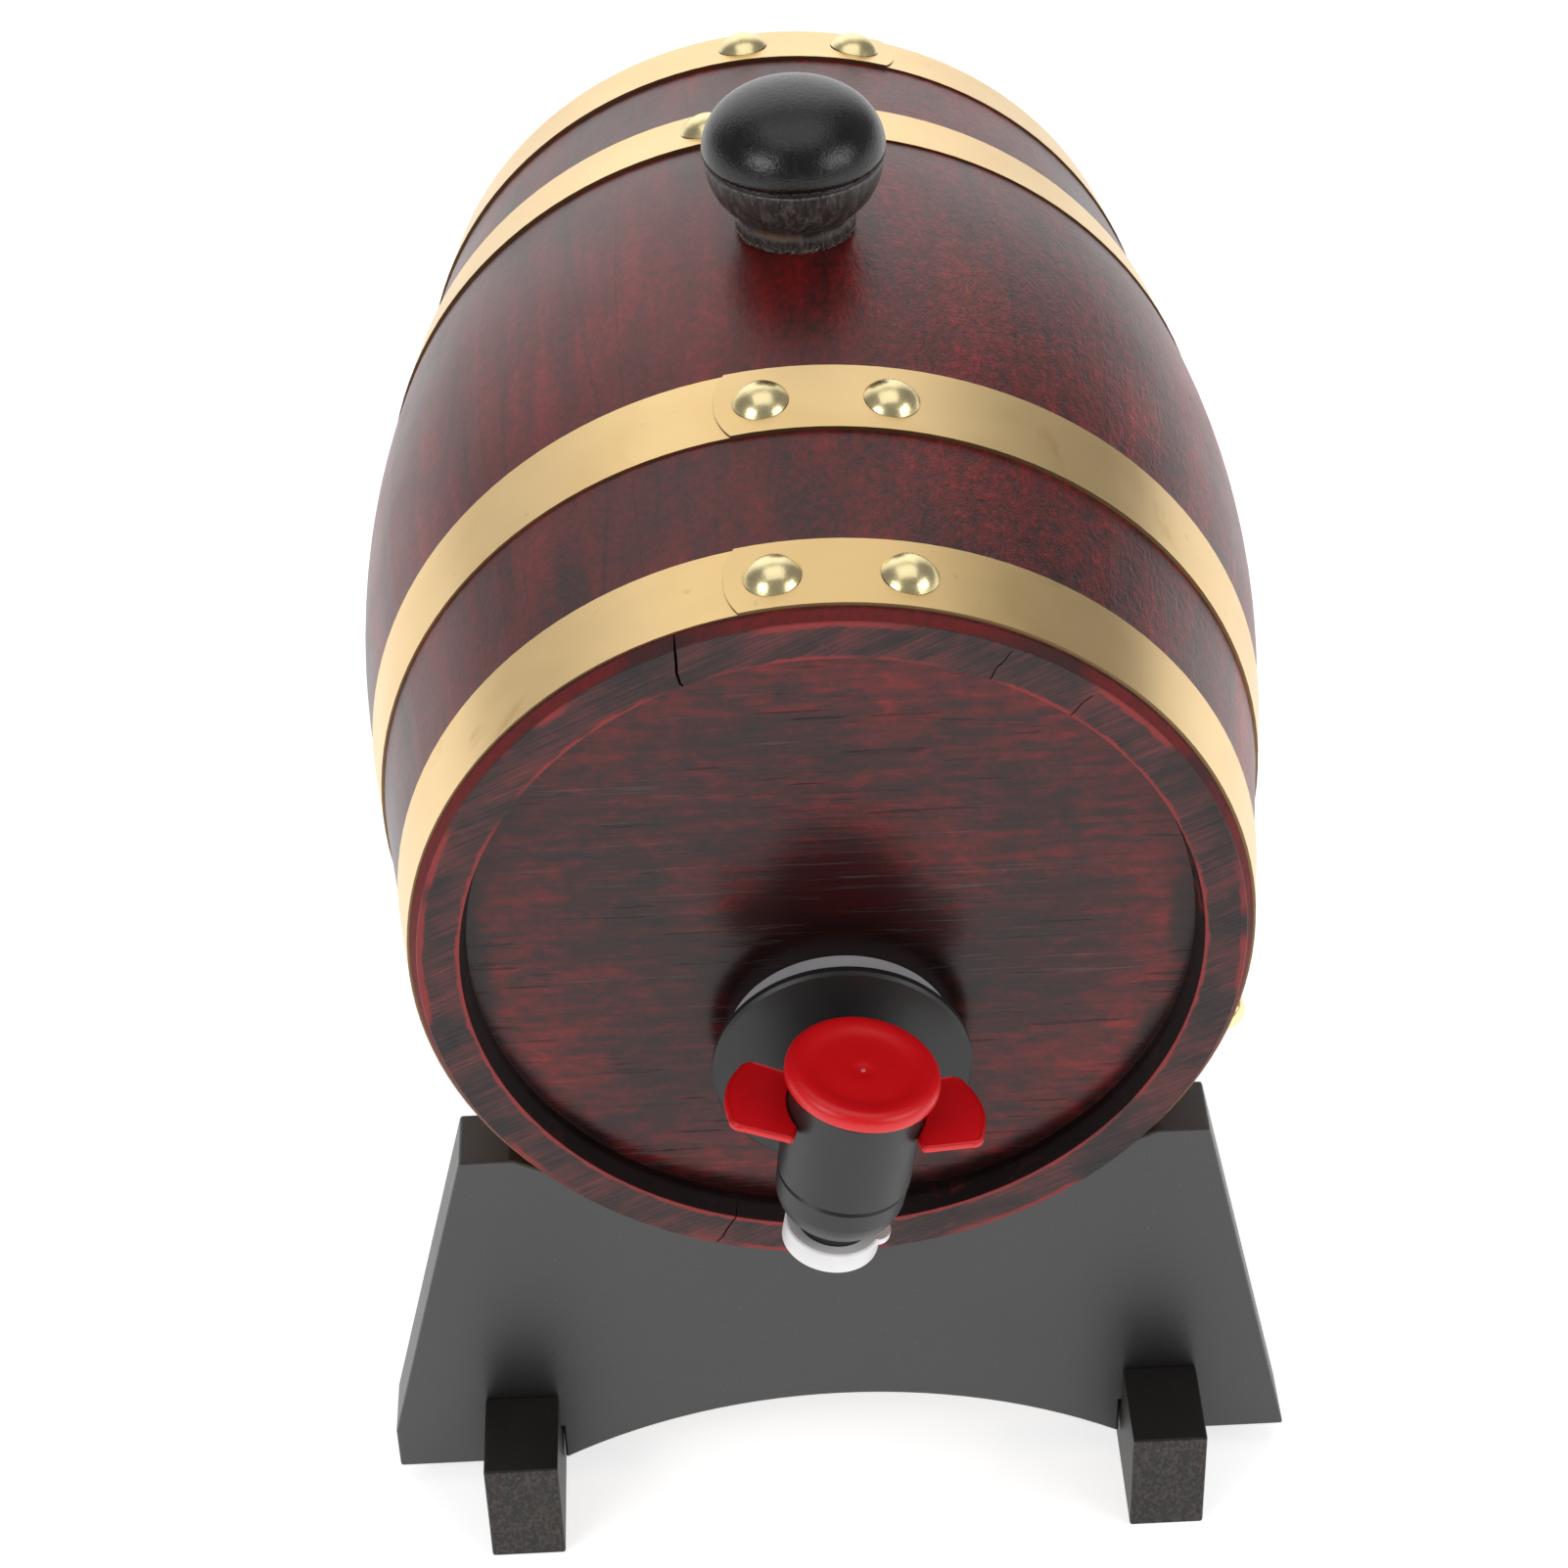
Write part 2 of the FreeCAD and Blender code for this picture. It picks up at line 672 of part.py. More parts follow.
def make_stopper():
    """A turned knob with a double groove, a short neck and a tapered plug."""
    body = new_body("stopper")
    groove_low = "stopper_groove"
    dome_joint, dome_side = oval_dome()
    corners = [
        ("0", "stopper_plug_bottom"),
        ("stopper_plug_radius - stopper_edge", "stopper_plug_bottom"),
        ("stopper_plug_radius", "stopper_plug_bottom + stopper_edge"),
        ("stopper_plug_top_radius", "bilge_radius"),
        ("stopper_neck_radius", "stopper_neck_top"),
        ("stopper_neck_radius + 0.9", "stopper_neck_top + 0.5"),
        ("stopper_radius - 0.15", groove_low + " - 0.7"),
        ("stopper_radius - 0.45", groove_low + " - 0.4"),
        ("stopper_radius - 0.1", groove_low),
        ("stopper_radius - 0.4", groove_low + " + 0.4"),
        ("stopper_radius - 0.05", groove_low + " + 0.8"),
        ("stopper_radius", "stopper_equator"),
        dome_joint,
        ("0", "stopper_top"),
    ]
    bows = {
        5: ("stopper_neck_radius + 3.3", "stopper_neck_top + 2.6"),
        11: dome_side,
        12: CENTRED,
    }
    spin(body, outline(body, "stopper_section", "XZ_Plane", corners, bows), "V_Axis")
    place(body, "0", BARREL_Y + " + bung_back", "axis_tall")


# ---------------------------------------------------------------- tap

def make_tap_body():
    """Flange, spigot, arm, upright chamber and nozzle, bored through."""
    body = new_body("tap_body")
    outside = [
        ("0", "0 - nozzle_bottom"),
        ("nozzle_radius", "0 - nozzle_bottom"),
        ("nozzle_radius", "0 - shoulder_bottom"),
        ("shoulder_radius", "0 - shoulder_bottom"),
        ("chamber_radius - 0.35", "0 - shoulder_start"),
        ("chamber_radius - 0.15", "0 - chamber_crease - 0.5"),
        ("chamber_radius - 0.5", "0 - chamber_crease"),
        ("chamber_radius", "0 - chamber_crease + 0.5"),
        ("chamber_radius", "chamber_top - 0.8"),
        ("chamber_radius - 0.8", "chamber_top"),
        ("0", "chamber_top"),
    ]
    bows = {3: ("chamber_radius - 1.25", "0 - shoulder_bottom + 2.1")}
    spin(body, outline(body, "chamber_section", "XZ_Plane", outside, bows), "V_Axis")
    arm = [
        ("0", "0"),
        ("0", "arm_radius"),
        ("flange_front - 1.2", "arm_radius"),
        ("flange_front", "arm_radius + 1.6"),
        ("flange_front", "flange_radius - 0.5"),
        ("flange_front + 0.5", "flange_radius"),
        ("flange_front + flange_thickness", "flange_radius"),
        ("flange_front + flange_thickness", "spigot_radius"),
        ("flange_front + flange_thickness + spigot_reach", "spigot_radius"),
        ("flange_front + flange_thickness + spigot_reach", "0"),
    ]
    spin(body, outline(body, "arm_section", "YZ_Plane", arm), "H_Axis")
    inside = [
        ("0", "0 - nozzle_bottom - 1"),
        ("nozzle_bore_radius", "0 - nozzle_bottom - 1"),
        ("nozzle_bore_radius", "0 - lower_bore_bottom - 1"),
        ("lower_bore_radius", "0 - lower_bore_bottom + 1"),
        ("lower_bore_radius", "0 - seat_top - seat_thickness"),
        ("seat_hole_radius", "0 - seat_top - seat_thickness"),
        ("seat_hole_radius", "0 - seat_top"),
        ("chamber_bore_radius", "0 - seat_top"),
        ("chamber_bore_radius", "chamber_top + 1"),
        ("0", "chamber_top + 1"),
    ]
    spin(body, outline(body, "chamber_bore", "XZ_Plane", inside), "V_Axis", kind="Groove")
    inlet = [
        ("0", "0"),
        ("0", "inlet_radius"),
        ("flange_front", "inlet_radius"),
        ("flange_front + 2 * flange_thickness", "spigot_bore_radius"),
        ("flange_front + spigot_reach + 3", "spigot_bore_radius"),
        ("flange_front + spigot_reach + 3", "0"),
    ]
    spin(body, outline(body, "inlet_bore", "YZ_Plane", inlet), "H_Axis", kind="Groove")
    on_tap(body)


def make_gland():
    """The pale ring bushing between the tap's flange and the head."""
    body = new_body("tap_gland")
    start = "( flange_front + flange_thickness + 0.05 )"
    seat = "( tap_reach - head_offset )"
    corners = [
        (start, "gland_inner_radius"),
        (start, "gland_radius - 0.4"),
        (start + " + 0.4", "gland_radius"),
        (seat, "gland_radius"),
        (seat, "gland_neck_radius"),
        (seat + " + gland_inside_reach", "gland_neck_radius"),
        (seat + " + gland_inside_reach", "gland_inner_radius"),
    ]
    spin(body, outline(body, "gland_section", "YZ_Plane", corners), "H_Axis")
    place(body, "tap_right", BARREL_Y + " - tap_reach", "axis_tall - tap_drop")


def make_dust_cap():
    """A shallow closed cup that snaps on the nozzle, with a pull tab at its right."""
    body = new_body("dust_cap")
    hole = "nozzle_radius + cap_clearance"
    corners = [
        ("0", "0 - cap_bottom"),
        ("cap_radius - 0.6", "0 - cap_bottom"),
        ("cap_radius", "0 - cap_bottom + 0.6"),
        ("cap_radius", "0 - cap_top - 0.3"),
        ("cap_radius - 0.3", "0 - cap_top"),
        (hole, "0 - cap_top"),
        (hole, "0 - cap_top - cap_wall"),
        ("cap_radius - cap_wall", "0 - cap_top - cap_wall"),
        ("cap_radius - cap_wall", "0 - cap_bottom + cap_wall"),
        ("0", "0 - cap_bottom + cap_wall"),
    ]
    spin(body, outline(body, "cap_section", "XZ_Plane", corners), "V_Axis")
    tab = [
        ("cap_radius - 0.8", "0 - cap_tab_wide / 2"),
        ("cap_tab_reach - 1.6", "0 - cap_tab_wide / 2"),
        ("cap_tab_reach - 1.6", "cap_tab_wide / 2"),
        ("cap_radius - 0.8", "cap_tab_wide / 2"),
    ]
    sketch = outline(body, "cap_tab", "XY_Plane", tab, {1: ("cap_tab_reach", "0")})
    sketch.setExpression("AttachmentOffset.Base.z", cells("0 - cap_top - cap_wall / 2"))
    pad(body, sketch, "cap_wall")
    lean = Rotation(Vector(0, 1, 0), size("tap_lean"))
    tab_turn = Rotation(Vector(0, 0, 1), size("cap_tab_turn"))
    place(body, "tap_right", BARREL_Y + " - tap_reach", "axis_tall - tap_drop", lean.multiply(tab_turn))


def make_button():
    """The dished red thumb disc, with the hollow guide that slides in the chamber."""
    body = new_body("push_button")
    corners = [
        ("0", "button_recess_top"),
        ("button_guide_inner", "button_recess_top"),
        ("button_guide_inner", "button_guide_bottom"),
        ("button_guide_radius", "button_guide_bottom"),
        ("button_guide_radius", "button_recess_top"),
        ("button_recess_radius", "button_recess_top"),
        ("button_recess_radius", "button_bottom"),
        ("button_radius - 0.3", "button_bottom"),
        ("button_radius", "button_bottom + 0.3"),
        ("button_radius", "button_top - button_round"),
        ("button_radius - button_round", "button_top"),
        ("button_dish_radius + 0.6", "button_top"),
        ("0", "button_top - button_dish"),
    ]
    bows = {
        9: ("button_radius - button_round * 0.293", "button_top - button_round * 0.293"),
        11: CENTRED,
    }
    spin(body, outline(body, "button_section", "XZ_Plane", corners, bows), "V_Axis")
    on_tap(body)


def make_valve():
    stem = new_body("valve_stem")
    seal_top = "0 - seat_top - seat_thickness - 0.03"
    corners = [
        ("0", seal_top),
        ("stem_radius", seal_top),
        ("stem_radius", "button_recess_top"),
        ("0", "button_recess_top"),
    ]
    spin(stem, outline(stem, "stem_section", "XZ_Plane", corners), "V_Axis")
    on_tap(stem)
    seal = new_body("valve_seal")
    corners = [
        ("0", seal_top + " - seal_thickness"),
        ("seal_radius - 0.4", seal_top + " - seal_thickness"),
        ("seal_radius", seal_top + " - seal_thickness + 0.4"),
        ("seal_radius", seal_top),
        ("0", seal_top),
    ]
    spin(seal, outline(seal, "seal_section", "XZ_Plane", corners), "V_Axis")
    on_tap(seal)


def make_wings():
    """Two finger wings on a clip that goes round the back of the chamber."""
    body = new_body("finger_wings")
    clip_in = "( chamber_radius + clip_clearance )"
    clip_out = "( chamber_radius + clip_clearance + clip_thickness )"
    right_half = [
        (clip_in + " * cos ( clip_front_turn )", "0 - " + clip_in + " * sin ( clip_front_turn )"),
        ("wing_root", "0 - wing_front"),
        ("wing_reach - 2.5", "2.0 - wing_front"),
        ("wing_reach - 0.5", "4.2 - wing_front"),
        ("wing_reach - 2.4", "wing_back - 1.6"),
        ("wing_reach - 4.9", "wing_back"),
        (clip_out + " * cos ( clip_back_turn )", clip_out + " * sin ( clip_back_turn )"),
    ]
    right_bows = {
        2: ("wing_reach - 1.0", "2.65 - wing_front"),
        3: ("wing_reach", "wing_bulge"),
        4: ("wing_reach - 3.4", "wing_back - 0.35"),
    }
    left_half = [("0 - ( " + across + " )", along) for across, along in reversed(right_half)]
    last_side = 2 * len(right_half) - 1
    bows = dict(right_bows)
    for side, (across, along) in right_bows.items():
        bows[last_side - 1 - side] = ("0 - ( " + across + " )", along)
    bows[len(right_half) - 1] = ("0", clip_out)
    bows[last_side] = ("0", clip_in)
    sketch = outline(body, "wing_outline", "XY_Plane", right_half + left_half, bows)
    sketch.setExpression("AttachmentOffset.Base.z", cells("wing_top - wing_thickness / 2"))
    pad(body, sketch, "wing_thickness")
    on_tap(body)


# ---------------------------------------------------------------- whole

def check_and_write():
    doc.recompute()
    for thing in doc.Objects:
        if "Invalid" in thing.State or "Error" in thing.State:
            raise ValueError(f"{thing.Name} failed: {thing.State}")
    os.makedirs("parts", exist_ok=True)
    for thing in parts:
        if thing.Shape.isNull() or not thing.Shape.isValid():
            raise ValueError(thing.Label + " has a bad shape")
        thing.Shape.exportStep(f"parts/{thing.Label}.step")
        print(f"{thing.Label}: {len(thing.Shape.Solids)} solid(s), {thing.Shape.Volume / 1000:.2f} cm3")


make_sheet()
make_cradle_board("front_cradle_board", -1)
make_cradle_board("rear_cradle_board", 1)
make_rail("left_rail", -1)
make_rail("right_rail", 1)
make_staves()
make_heads()
for hoop_label in HOOPS:
    make_hoop(hoop_label)
make_rivets()
make_nails()
make_stopper()
make_gland()
make_tap_body()
make_wings()
make_button()
make_valve()
make_dust_cap()
check_and_write()
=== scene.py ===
import json
import math
import random

import bmesh
import bpy
from mathutils import Matrix, Vector


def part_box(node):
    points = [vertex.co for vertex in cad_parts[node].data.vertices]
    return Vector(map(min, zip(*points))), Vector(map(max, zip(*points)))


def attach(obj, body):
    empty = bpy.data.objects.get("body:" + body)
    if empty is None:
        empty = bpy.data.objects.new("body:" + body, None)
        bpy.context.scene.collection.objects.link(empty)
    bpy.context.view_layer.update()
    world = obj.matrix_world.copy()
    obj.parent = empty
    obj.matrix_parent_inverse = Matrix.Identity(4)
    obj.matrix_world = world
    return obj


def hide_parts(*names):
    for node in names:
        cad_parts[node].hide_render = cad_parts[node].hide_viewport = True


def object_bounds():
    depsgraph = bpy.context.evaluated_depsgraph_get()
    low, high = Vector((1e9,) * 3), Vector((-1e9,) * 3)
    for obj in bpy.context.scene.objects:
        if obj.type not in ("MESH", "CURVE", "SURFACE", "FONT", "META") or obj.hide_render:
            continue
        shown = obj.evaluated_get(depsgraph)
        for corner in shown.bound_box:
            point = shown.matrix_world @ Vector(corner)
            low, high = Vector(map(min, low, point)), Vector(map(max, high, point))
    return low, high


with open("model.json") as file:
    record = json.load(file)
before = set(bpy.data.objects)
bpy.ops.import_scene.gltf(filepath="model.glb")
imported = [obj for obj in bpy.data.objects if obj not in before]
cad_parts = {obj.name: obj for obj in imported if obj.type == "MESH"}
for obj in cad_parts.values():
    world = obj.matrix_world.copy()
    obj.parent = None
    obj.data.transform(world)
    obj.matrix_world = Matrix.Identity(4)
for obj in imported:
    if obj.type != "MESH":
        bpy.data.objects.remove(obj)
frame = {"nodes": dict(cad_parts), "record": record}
cad_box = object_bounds()

MM = 0.001
BOARDS = ["front_cradle_board", "rear_cradle_board"]
RAILS = ["left_rail", "right_rail"]
STAVES = sorted(node for node in frame["nodes"] if "stave" in node)


def span(nodes):
    """Lowest and highest corners of several CAD nodes together."""
    boxes = [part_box(node) for node in nodes]
    low = Vector([min(box[0][axis] for box in boxes) for axis in range(3)])
    high = Vector([max(box[1][axis] for box in boxes) for axis in range(3)])
    return low, high


BARREL_LOW, BARREL_HIGH = span(STAVES)
BARREL = (BARREL_LOW + BARREL_HIGH) / 2
HALF_LENGTH = (BARREL_HIGH.y - BARREL_LOW.y) / 2
JOINTS = {joint["name"]: joint for joint in frame["record"]["behaviour"]["joints"]}
TAP_HOLE = Vector(JOINTS["tap_turn"]["pos_m"])


# ---------------------------------------------------------------- material tools

class Graph:
    """Short calls for building a node tree."""

    def __init__(self, tree):
        self.tree = tree
        self.tree.nodes.clear()

    def add(self, kind, **settings):
        node = self.tree.nodes.new(kind)
        for key, value in settings.items():
            setattr(node, key, value)
        return node

    def feed(self, socket, value):
        """A socket takes another node's output, or a plain value."""
        if isinstance(value, bpy.types.NodeSocket):
            self.tree.links.new(value, socket)
        elif hasattr(socket.default_value, "__len__") and not hasattr(value, "__len__"):
            socket.default_value = [value] * len(socket.default_value)
        else:
            socket.default_value = value

    def math(self, operation, first, second=0.0):
        node = self.add("ShaderNodeMath", operation=operation)
        self.feed(node.inputs[0], first)
        self.feed(node.inputs[1], second)
        return node.outputs[0]

    def times(self, first, second):
        return self.math("MULTIPLY", first, second)

    def vector(self, operation, first, second=(0, 0, 0)):
        node = self.add("ShaderNodeVectorMath", operation=operation)
        self.feed(node.inputs[0], first)
        self.feed(node.inputs[1], second)
        return node.outputs["Value" if operation in ("LENGTH", "DOT_PRODUCT") else "Vector"]

    def split(self, vector):
        node = self.add("ShaderNodeSeparateXYZ")
        self.feed(node.inputs[0], vector)
        return node.outputs

    def stretch(self, scale, place):
        """Coordinates scaled on each axis; a small scale draws a pattern out along that axis."""
        node = self.add("ShaderNodeMapping")
        self.feed(node.inputs["Vector"], place)
        node.inputs["Scale"].default_value = scale
        return node.outputs[0]

    def turn(self, degrees, place):
        """Coordinates turned about the axes."""
        node = self.add("ShaderNodeMapping")
        self.feed(node.inputs["Vector"], place)
        node.inputs["Rotation"].default_value = [math.radians(angle) for angle in degrees]
        return node.outputs[0]

    def noise(self, place, scale, detail=2.0, rough=0.5, twist=0.0):
        node = self.add("ShaderNodeTexNoise")
        self.feed(node.inputs["Vector"], place)
        node.inputs["Scale"].default_value = scale
        node.inputs["Detail"].default_value = detail
        node.inputs["Roughness"].default_value = rough
        node.inputs["Distortion"].default_value = twist
        return node.outputs["Fac"]

    def cells(self, place, scale):
        """The distance to the nearest of many scattered points."""
        node = self.add("ShaderNodeTexVoronoi")
        self.feed(node.inputs["Vector"], place)
        node.inputs["Scale"].default_value = scale
        return node.outputs["Distance"]

    def step(self, value, low, high):
        """0 below low, 1 above high, with a smooth rise between them; low may be above high."""
        node = self.add("ShaderNodeMapRange", interpolation_type="SMOOTHSTEP")
        node.clamp = True
        self.feed(node.inputs["Value"], value)
        node.inputs["From Min"].default_value = low
        node.inputs["From Max"].default_value = high
        return node.outputs["Result"]

    def between(self, value, low, high):
        """A straight remap of 0..1 onto low..high."""
        node = self.add("ShaderNodeMapRange")
        self.feed(node.inputs["Value"], value)
        node.inputs["To Min"].default_value = low
        node.inputs["To Max"].default_value = high
        return node.outputs["Result"]

    def mix(self, share, first, second):
        """The first colour where share is 0, the second where it is 1."""
        node = self.add("ShaderNodeMix", data_type="RGBA")
        self.feed(node.inputs["Factor"], share)
        self.feed(node.inputs[6], first)
        self.feed(node.inputs[7], second)
        return node.outputs[2]

    def ramp(self, value, stops):
        """A colour for each value, blended between (value, colour) stops."""
        node = self.add("ShaderNodeValToRGB")
        self.feed(node.inputs[0], value)
        elements = node.color_ramp.elements
        while len(elements) < len(stops):
            elements.new(0.5)
        for element, (place, colour) in zip(elements, stops):
            element.position = place
            element.color = (*colour, 1)
        return node.outputs[0]

    def bump(self, height, depth, normal=None):
        """Raises the surface by depth metres where height is 1."""
        node = self.add("ShaderNodeBump")
        node.inputs["Strength"].default_value = 1.0
        node.inputs["Distance"].default_value = depth
        self.feed(node.inputs["Height"], height)
        if normal is not None:
            self.feed(node.inputs["Normal"], normal)
        return node.outputs[0]


class Material(Graph):
    """A surface, with places measured in the object's own frame."""

    def __init__(self, name):
        self.material = bpy.data.materials.new(name)
        self.material.use_nodes = True
        super().__init__(self.material.node_tree)
        self.place = self.add("ShaderNodeTexCoord").outputs["Object"]

    def finish(self, colour, roughness, normal=None, **plain):
        """The Principled shader. Values that are the same all over are given by socket name."""
        shader = self.add("ShaderNodeBsdfPrincipled")
        self.feed(shader.inputs["Base Color"], colour)
        self.feed(shader.inputs["Roughness"], roughness)
        if normal is not None:
            self.feed(shader.inputs["Normal"], normal)
        for name, value in plain.items():
            self.feed(shader.inputs[name.replace("_", " ")], value)
        output = self.add("ShaderNodeOutputMaterial")
        self.tree.links.new(shader.outputs[0], output.inputs["Surface"])
        return self.material


# ---------------------------------------------------------------- camera and light

def direction(azimuth, elevation):
    """Away from the barrel. Azimuth 0 is straight out of the tap end."""
    azimuth, elevation = math.radians(azimuth), math.radians(elevation)
    return Vector((
        math.sin(azimuth) * math.cos(elevation),
        -math.cos(azimuth) * math.cos(elevation),
        math.sin(elevation),
    ))


def add_camera():
    """A long lens, looking down at the tap end."""
    roll = math.radians(-2.0)
    distance = 0.6948
    target = BARREL + Vector((-5.27, 0, -38.95)) * MM
    back = direction(-1.0, 38.45)
    level = Vector((0, 0, 1)).cross(back).normalized()
    upright = back.cross(level)
    right = math.cos(roll) * level + math.sin(roll) * upright
    up = back.cross(right)
    data = bpy.data.cameras.new("camera")
    data.sensor_width = 36
    data.lens = 85.28
    camera = bpy.data.objects.new("camera", data)
    bpy.context.scene.collection.objects.link(camera)
    turn = Matrix((right, up, back)).transposed().to_4x4()
    camera.matrix_world = Matrix.Translation(target + back * distance) @ turn
    bpy.context.scene.camera = camera


def add_softbox(name, azimuth, elevation, distance, size, watts):
    """A rectangular soft light that faces the barrel."""
    data = bpy.data.lights.new(name, "AREA")
    data.shape = "RECTANGLE"
    data.size, data.size_y = size
    data.energy = watts
    away = direction(azimuth, elevation)
    light = bpy.data.objects.new(name, data)
    bpy.context.scene.collection.objects.link(light)
    turn = away.to_track_quat("Z", "Y").to_matrix().to_4x4()
    light.matrix_world = Matrix.Translation(BARREL + away * distance) @ turn


ROOM_GLOW = 0.30


def add_world():
    """A grey room. A white backdrop glows behind the barrel, brightest low down."""
    world = bpy.data.worlds.new("room")
    bpy.context.scene.world = world
    world.use_nodes = True
    g = Graph(world.node_tree)
    x, y, z = g.split(g.add("ShaderNodeTexCoord").outputs["Generated"])[:3]
    level = g.math("SQRT", g.math("ADD", g.times(x, x), g.times(y, y)))
    leftward = g.math("SUBTRACT", g.times(y, 0.99), g.times(x, 0.12))
    facing = g.math("DIVIDE", leftward, g.math("MAXIMUM", level, 0.001))
    low = g.times(g.step(facing, 0.60, 0.97), g.between(g.step(z, 0.84, 0.64), 0.60, 1.35))
    glow = g.math("ADD", ROOM_GLOW, g.times(low, g.step(z, 0.93, 0.84)))
    background = g.add("ShaderNodeBackground")
    g.feed(background.inputs["Strength"], glow)
    output = g.add("ShaderNodeOutputWorld")
    g.tree.links.new(background.outputs[0], output.inputs["Surface"])


def add_floor():
    """A plain white table, a little brighter than the light alone would make it."""
    bpy.ops.mesh.primitive_plane_add(size=30, location=(0, 0, cad_box[0][2]))
    floor = bpy.context.object
    floor.name = "floor"
    floor.data.materials.append(Material("floor_white").finish(
        (0.86, 0.86, 0.86, 1), 0.9,
        Specular_IOR_Level=0.1, Emission_Color=(1, 1, 1, 1), Emission_Strength=0.66,
    ))


def add_studio():
    scene = bpy.context.scene
    scene.view_settings.view_transform = "Standard"
    scene.view_settings.look = "None"
    add_camera()
    add_world()
    add_floor()
    add_softbox("left_light", -45, 31, 1.1, (0.46, 0.40), 2.6)
    add_softbox("right_light", 58, 26, 1.1, (0.62, 0.40), 2.6)
    add_softbox("top_light", 6, 86, 0.9, (0.95, 0.72), 2.0)


# ---------------------------------------------------------------- wood

STAIN = [
    (0.28, (0.014, 0.0070, 0.0070)),
    (0.42, (0.044, 0.0075, 0.0075)),
    (0.55, (0.125, 0.0080, 0.0080)),
    (0.72, (0.31, 0.013, 0.013)),
]
PORE = (0.003, 0.0025, 0.0025, 1)

# radii on the sawn ends: the recess wall, the worn red edges and the bevel
WALL_RADIUS = 61.5 * MM
INNER_EDGE = 60.7 * MM
OUTER_EDGE = 65.5 * MM
BEVEL_RADIUS = 66 * MM


def barrel_place(g):
    """Coordinates measured from the middle of the barrel."""
    return g.vector("SUBTRACT", g.place, tuple(BARREL))


def from_axis(g, place):
    """Distance from the barrel's long axis."""
    return g.vector("LENGTH", g.vector("MULTIPLY", place, (1, 0, 1)))


def swing(g, value, amount):
    """A noise value turned into a push up or down around zero."""
    return g.times(g.math("SUBTRACT", value, 0.5), amount)


def total(g, values):
    result = values[0]
    for value in values[1:]:
        result = g.math("ADD", result, value)
    return result


def thin_lines(g, place, scale, width):
    """Long wandering hairlines, where a slow noise crosses its middle."""
    field = g.noise(place, scale, 1, 0.4, 0.3)
    return g.step(g.math("ABSOLUTE", g.math("SUBTRACT", field, 0.5)), width, width * 0.4)


def make_stave_wood():
    """Streaky on the left of the barrel, finely mottled and slightly rough on the right."""
    g = Material("stained_stave")
    place = barrel_place(g)
    x, y = g.split(place)[:2]
    right = g.step(x, -25 * MM, 30 * MM)
    cloud = g.noise(g.stretch((1, 0.5, 1), place), 24, 3, 0.5, 0.4)
    streak = g.noise(g.stretch((1, 0.11, 1), place), 170, 4, 0.6, 0.2)
    fine = g.noise(g.stretch((1, 0.5, 1), place), 1250, 2, 0.6)
    blotch = g.noise(place, 420, 2, 0.6)
    grit = g.noise(place, 2600, 2, 0.6)
    mottle = g.times(total(g, [swing(g, fine, 0.38), swing(g, blotch, 0.28)]),
                    g.between(right, 0.45, 1.0))
    red = total(g, [0.505, g.times(right, 0.03),
                    swing(g, cloud, 0.46), swing(g, streak, 0.36), mottle])
    colour = g.ramp(red, STAIN)

    figure = g.noise(g.stretch((1, 0.3, 1), place), 15, 1, 0.4, 0.8)
    patch = g.step(figure, 0.615, 0.625)
    colour = g.mix(g.times(patch, 0.5), colour, (0.017, 0.0095, 0.0095, 1))
    ring = thin_lines(g, g.stretch((1, 0.18, 1), place), 30, 0.008)
    colour = g.mix(g.times(ring, 0.25), colour, PORE)
    dash = g.cells(g.stretch((1, 0.17, 1), place), 330)
    sparse = g.step(g.noise(place, 55, 1), 0.60, 0.70)
    pore = g.times(g.step(dash, 0.13, 0.05), sparse)
    colour = g.mix(g.times(pore, 0.85), colour, PORE)

    end_colour, end, saw = sawn_end(g, place, y)
    # painted shade, nearly black, on the recess wall between the stave ends and the head
    colour = g.mix(recess_wall_shade(g, place, y), colour, (0.006, 0.0035, 0.0035, 1))
    colour = g.mix(end, colour, end_colour)
    colour = bevel_colour(g, place, y, end, colour)

    height = total(g, [g.times(fine, 0.7), g.times(blotch, 0.35),
                       g.times(grit, 0.5), g.times(streak, 0.5),
                       g.times(pore, -0.6)])
    normal = g.bump(g.times(height, g.between(right, 0.32, 1.0)), 0.14 * MM)
    normal = g.bump(g.times(saw, end), 0.09 * MM, normal)
    rough = g.between(g.noise(place, 45, 3, 0.6), 0.25, 0.40)
    chime = g.step(g.math("ABSOLUTE", y), HALF_LENGTH - 4 * MM, HALF_LENGTH - 3 * MM)
    sanded = g.math("SUBTRACT", chime, end)
    rough = total(g, [rough, g.times(end, 0.2), g.times(sanded, 0.45)])
    return g.finish(colour, rough, normal, Specular_IOR_Level=0.42)


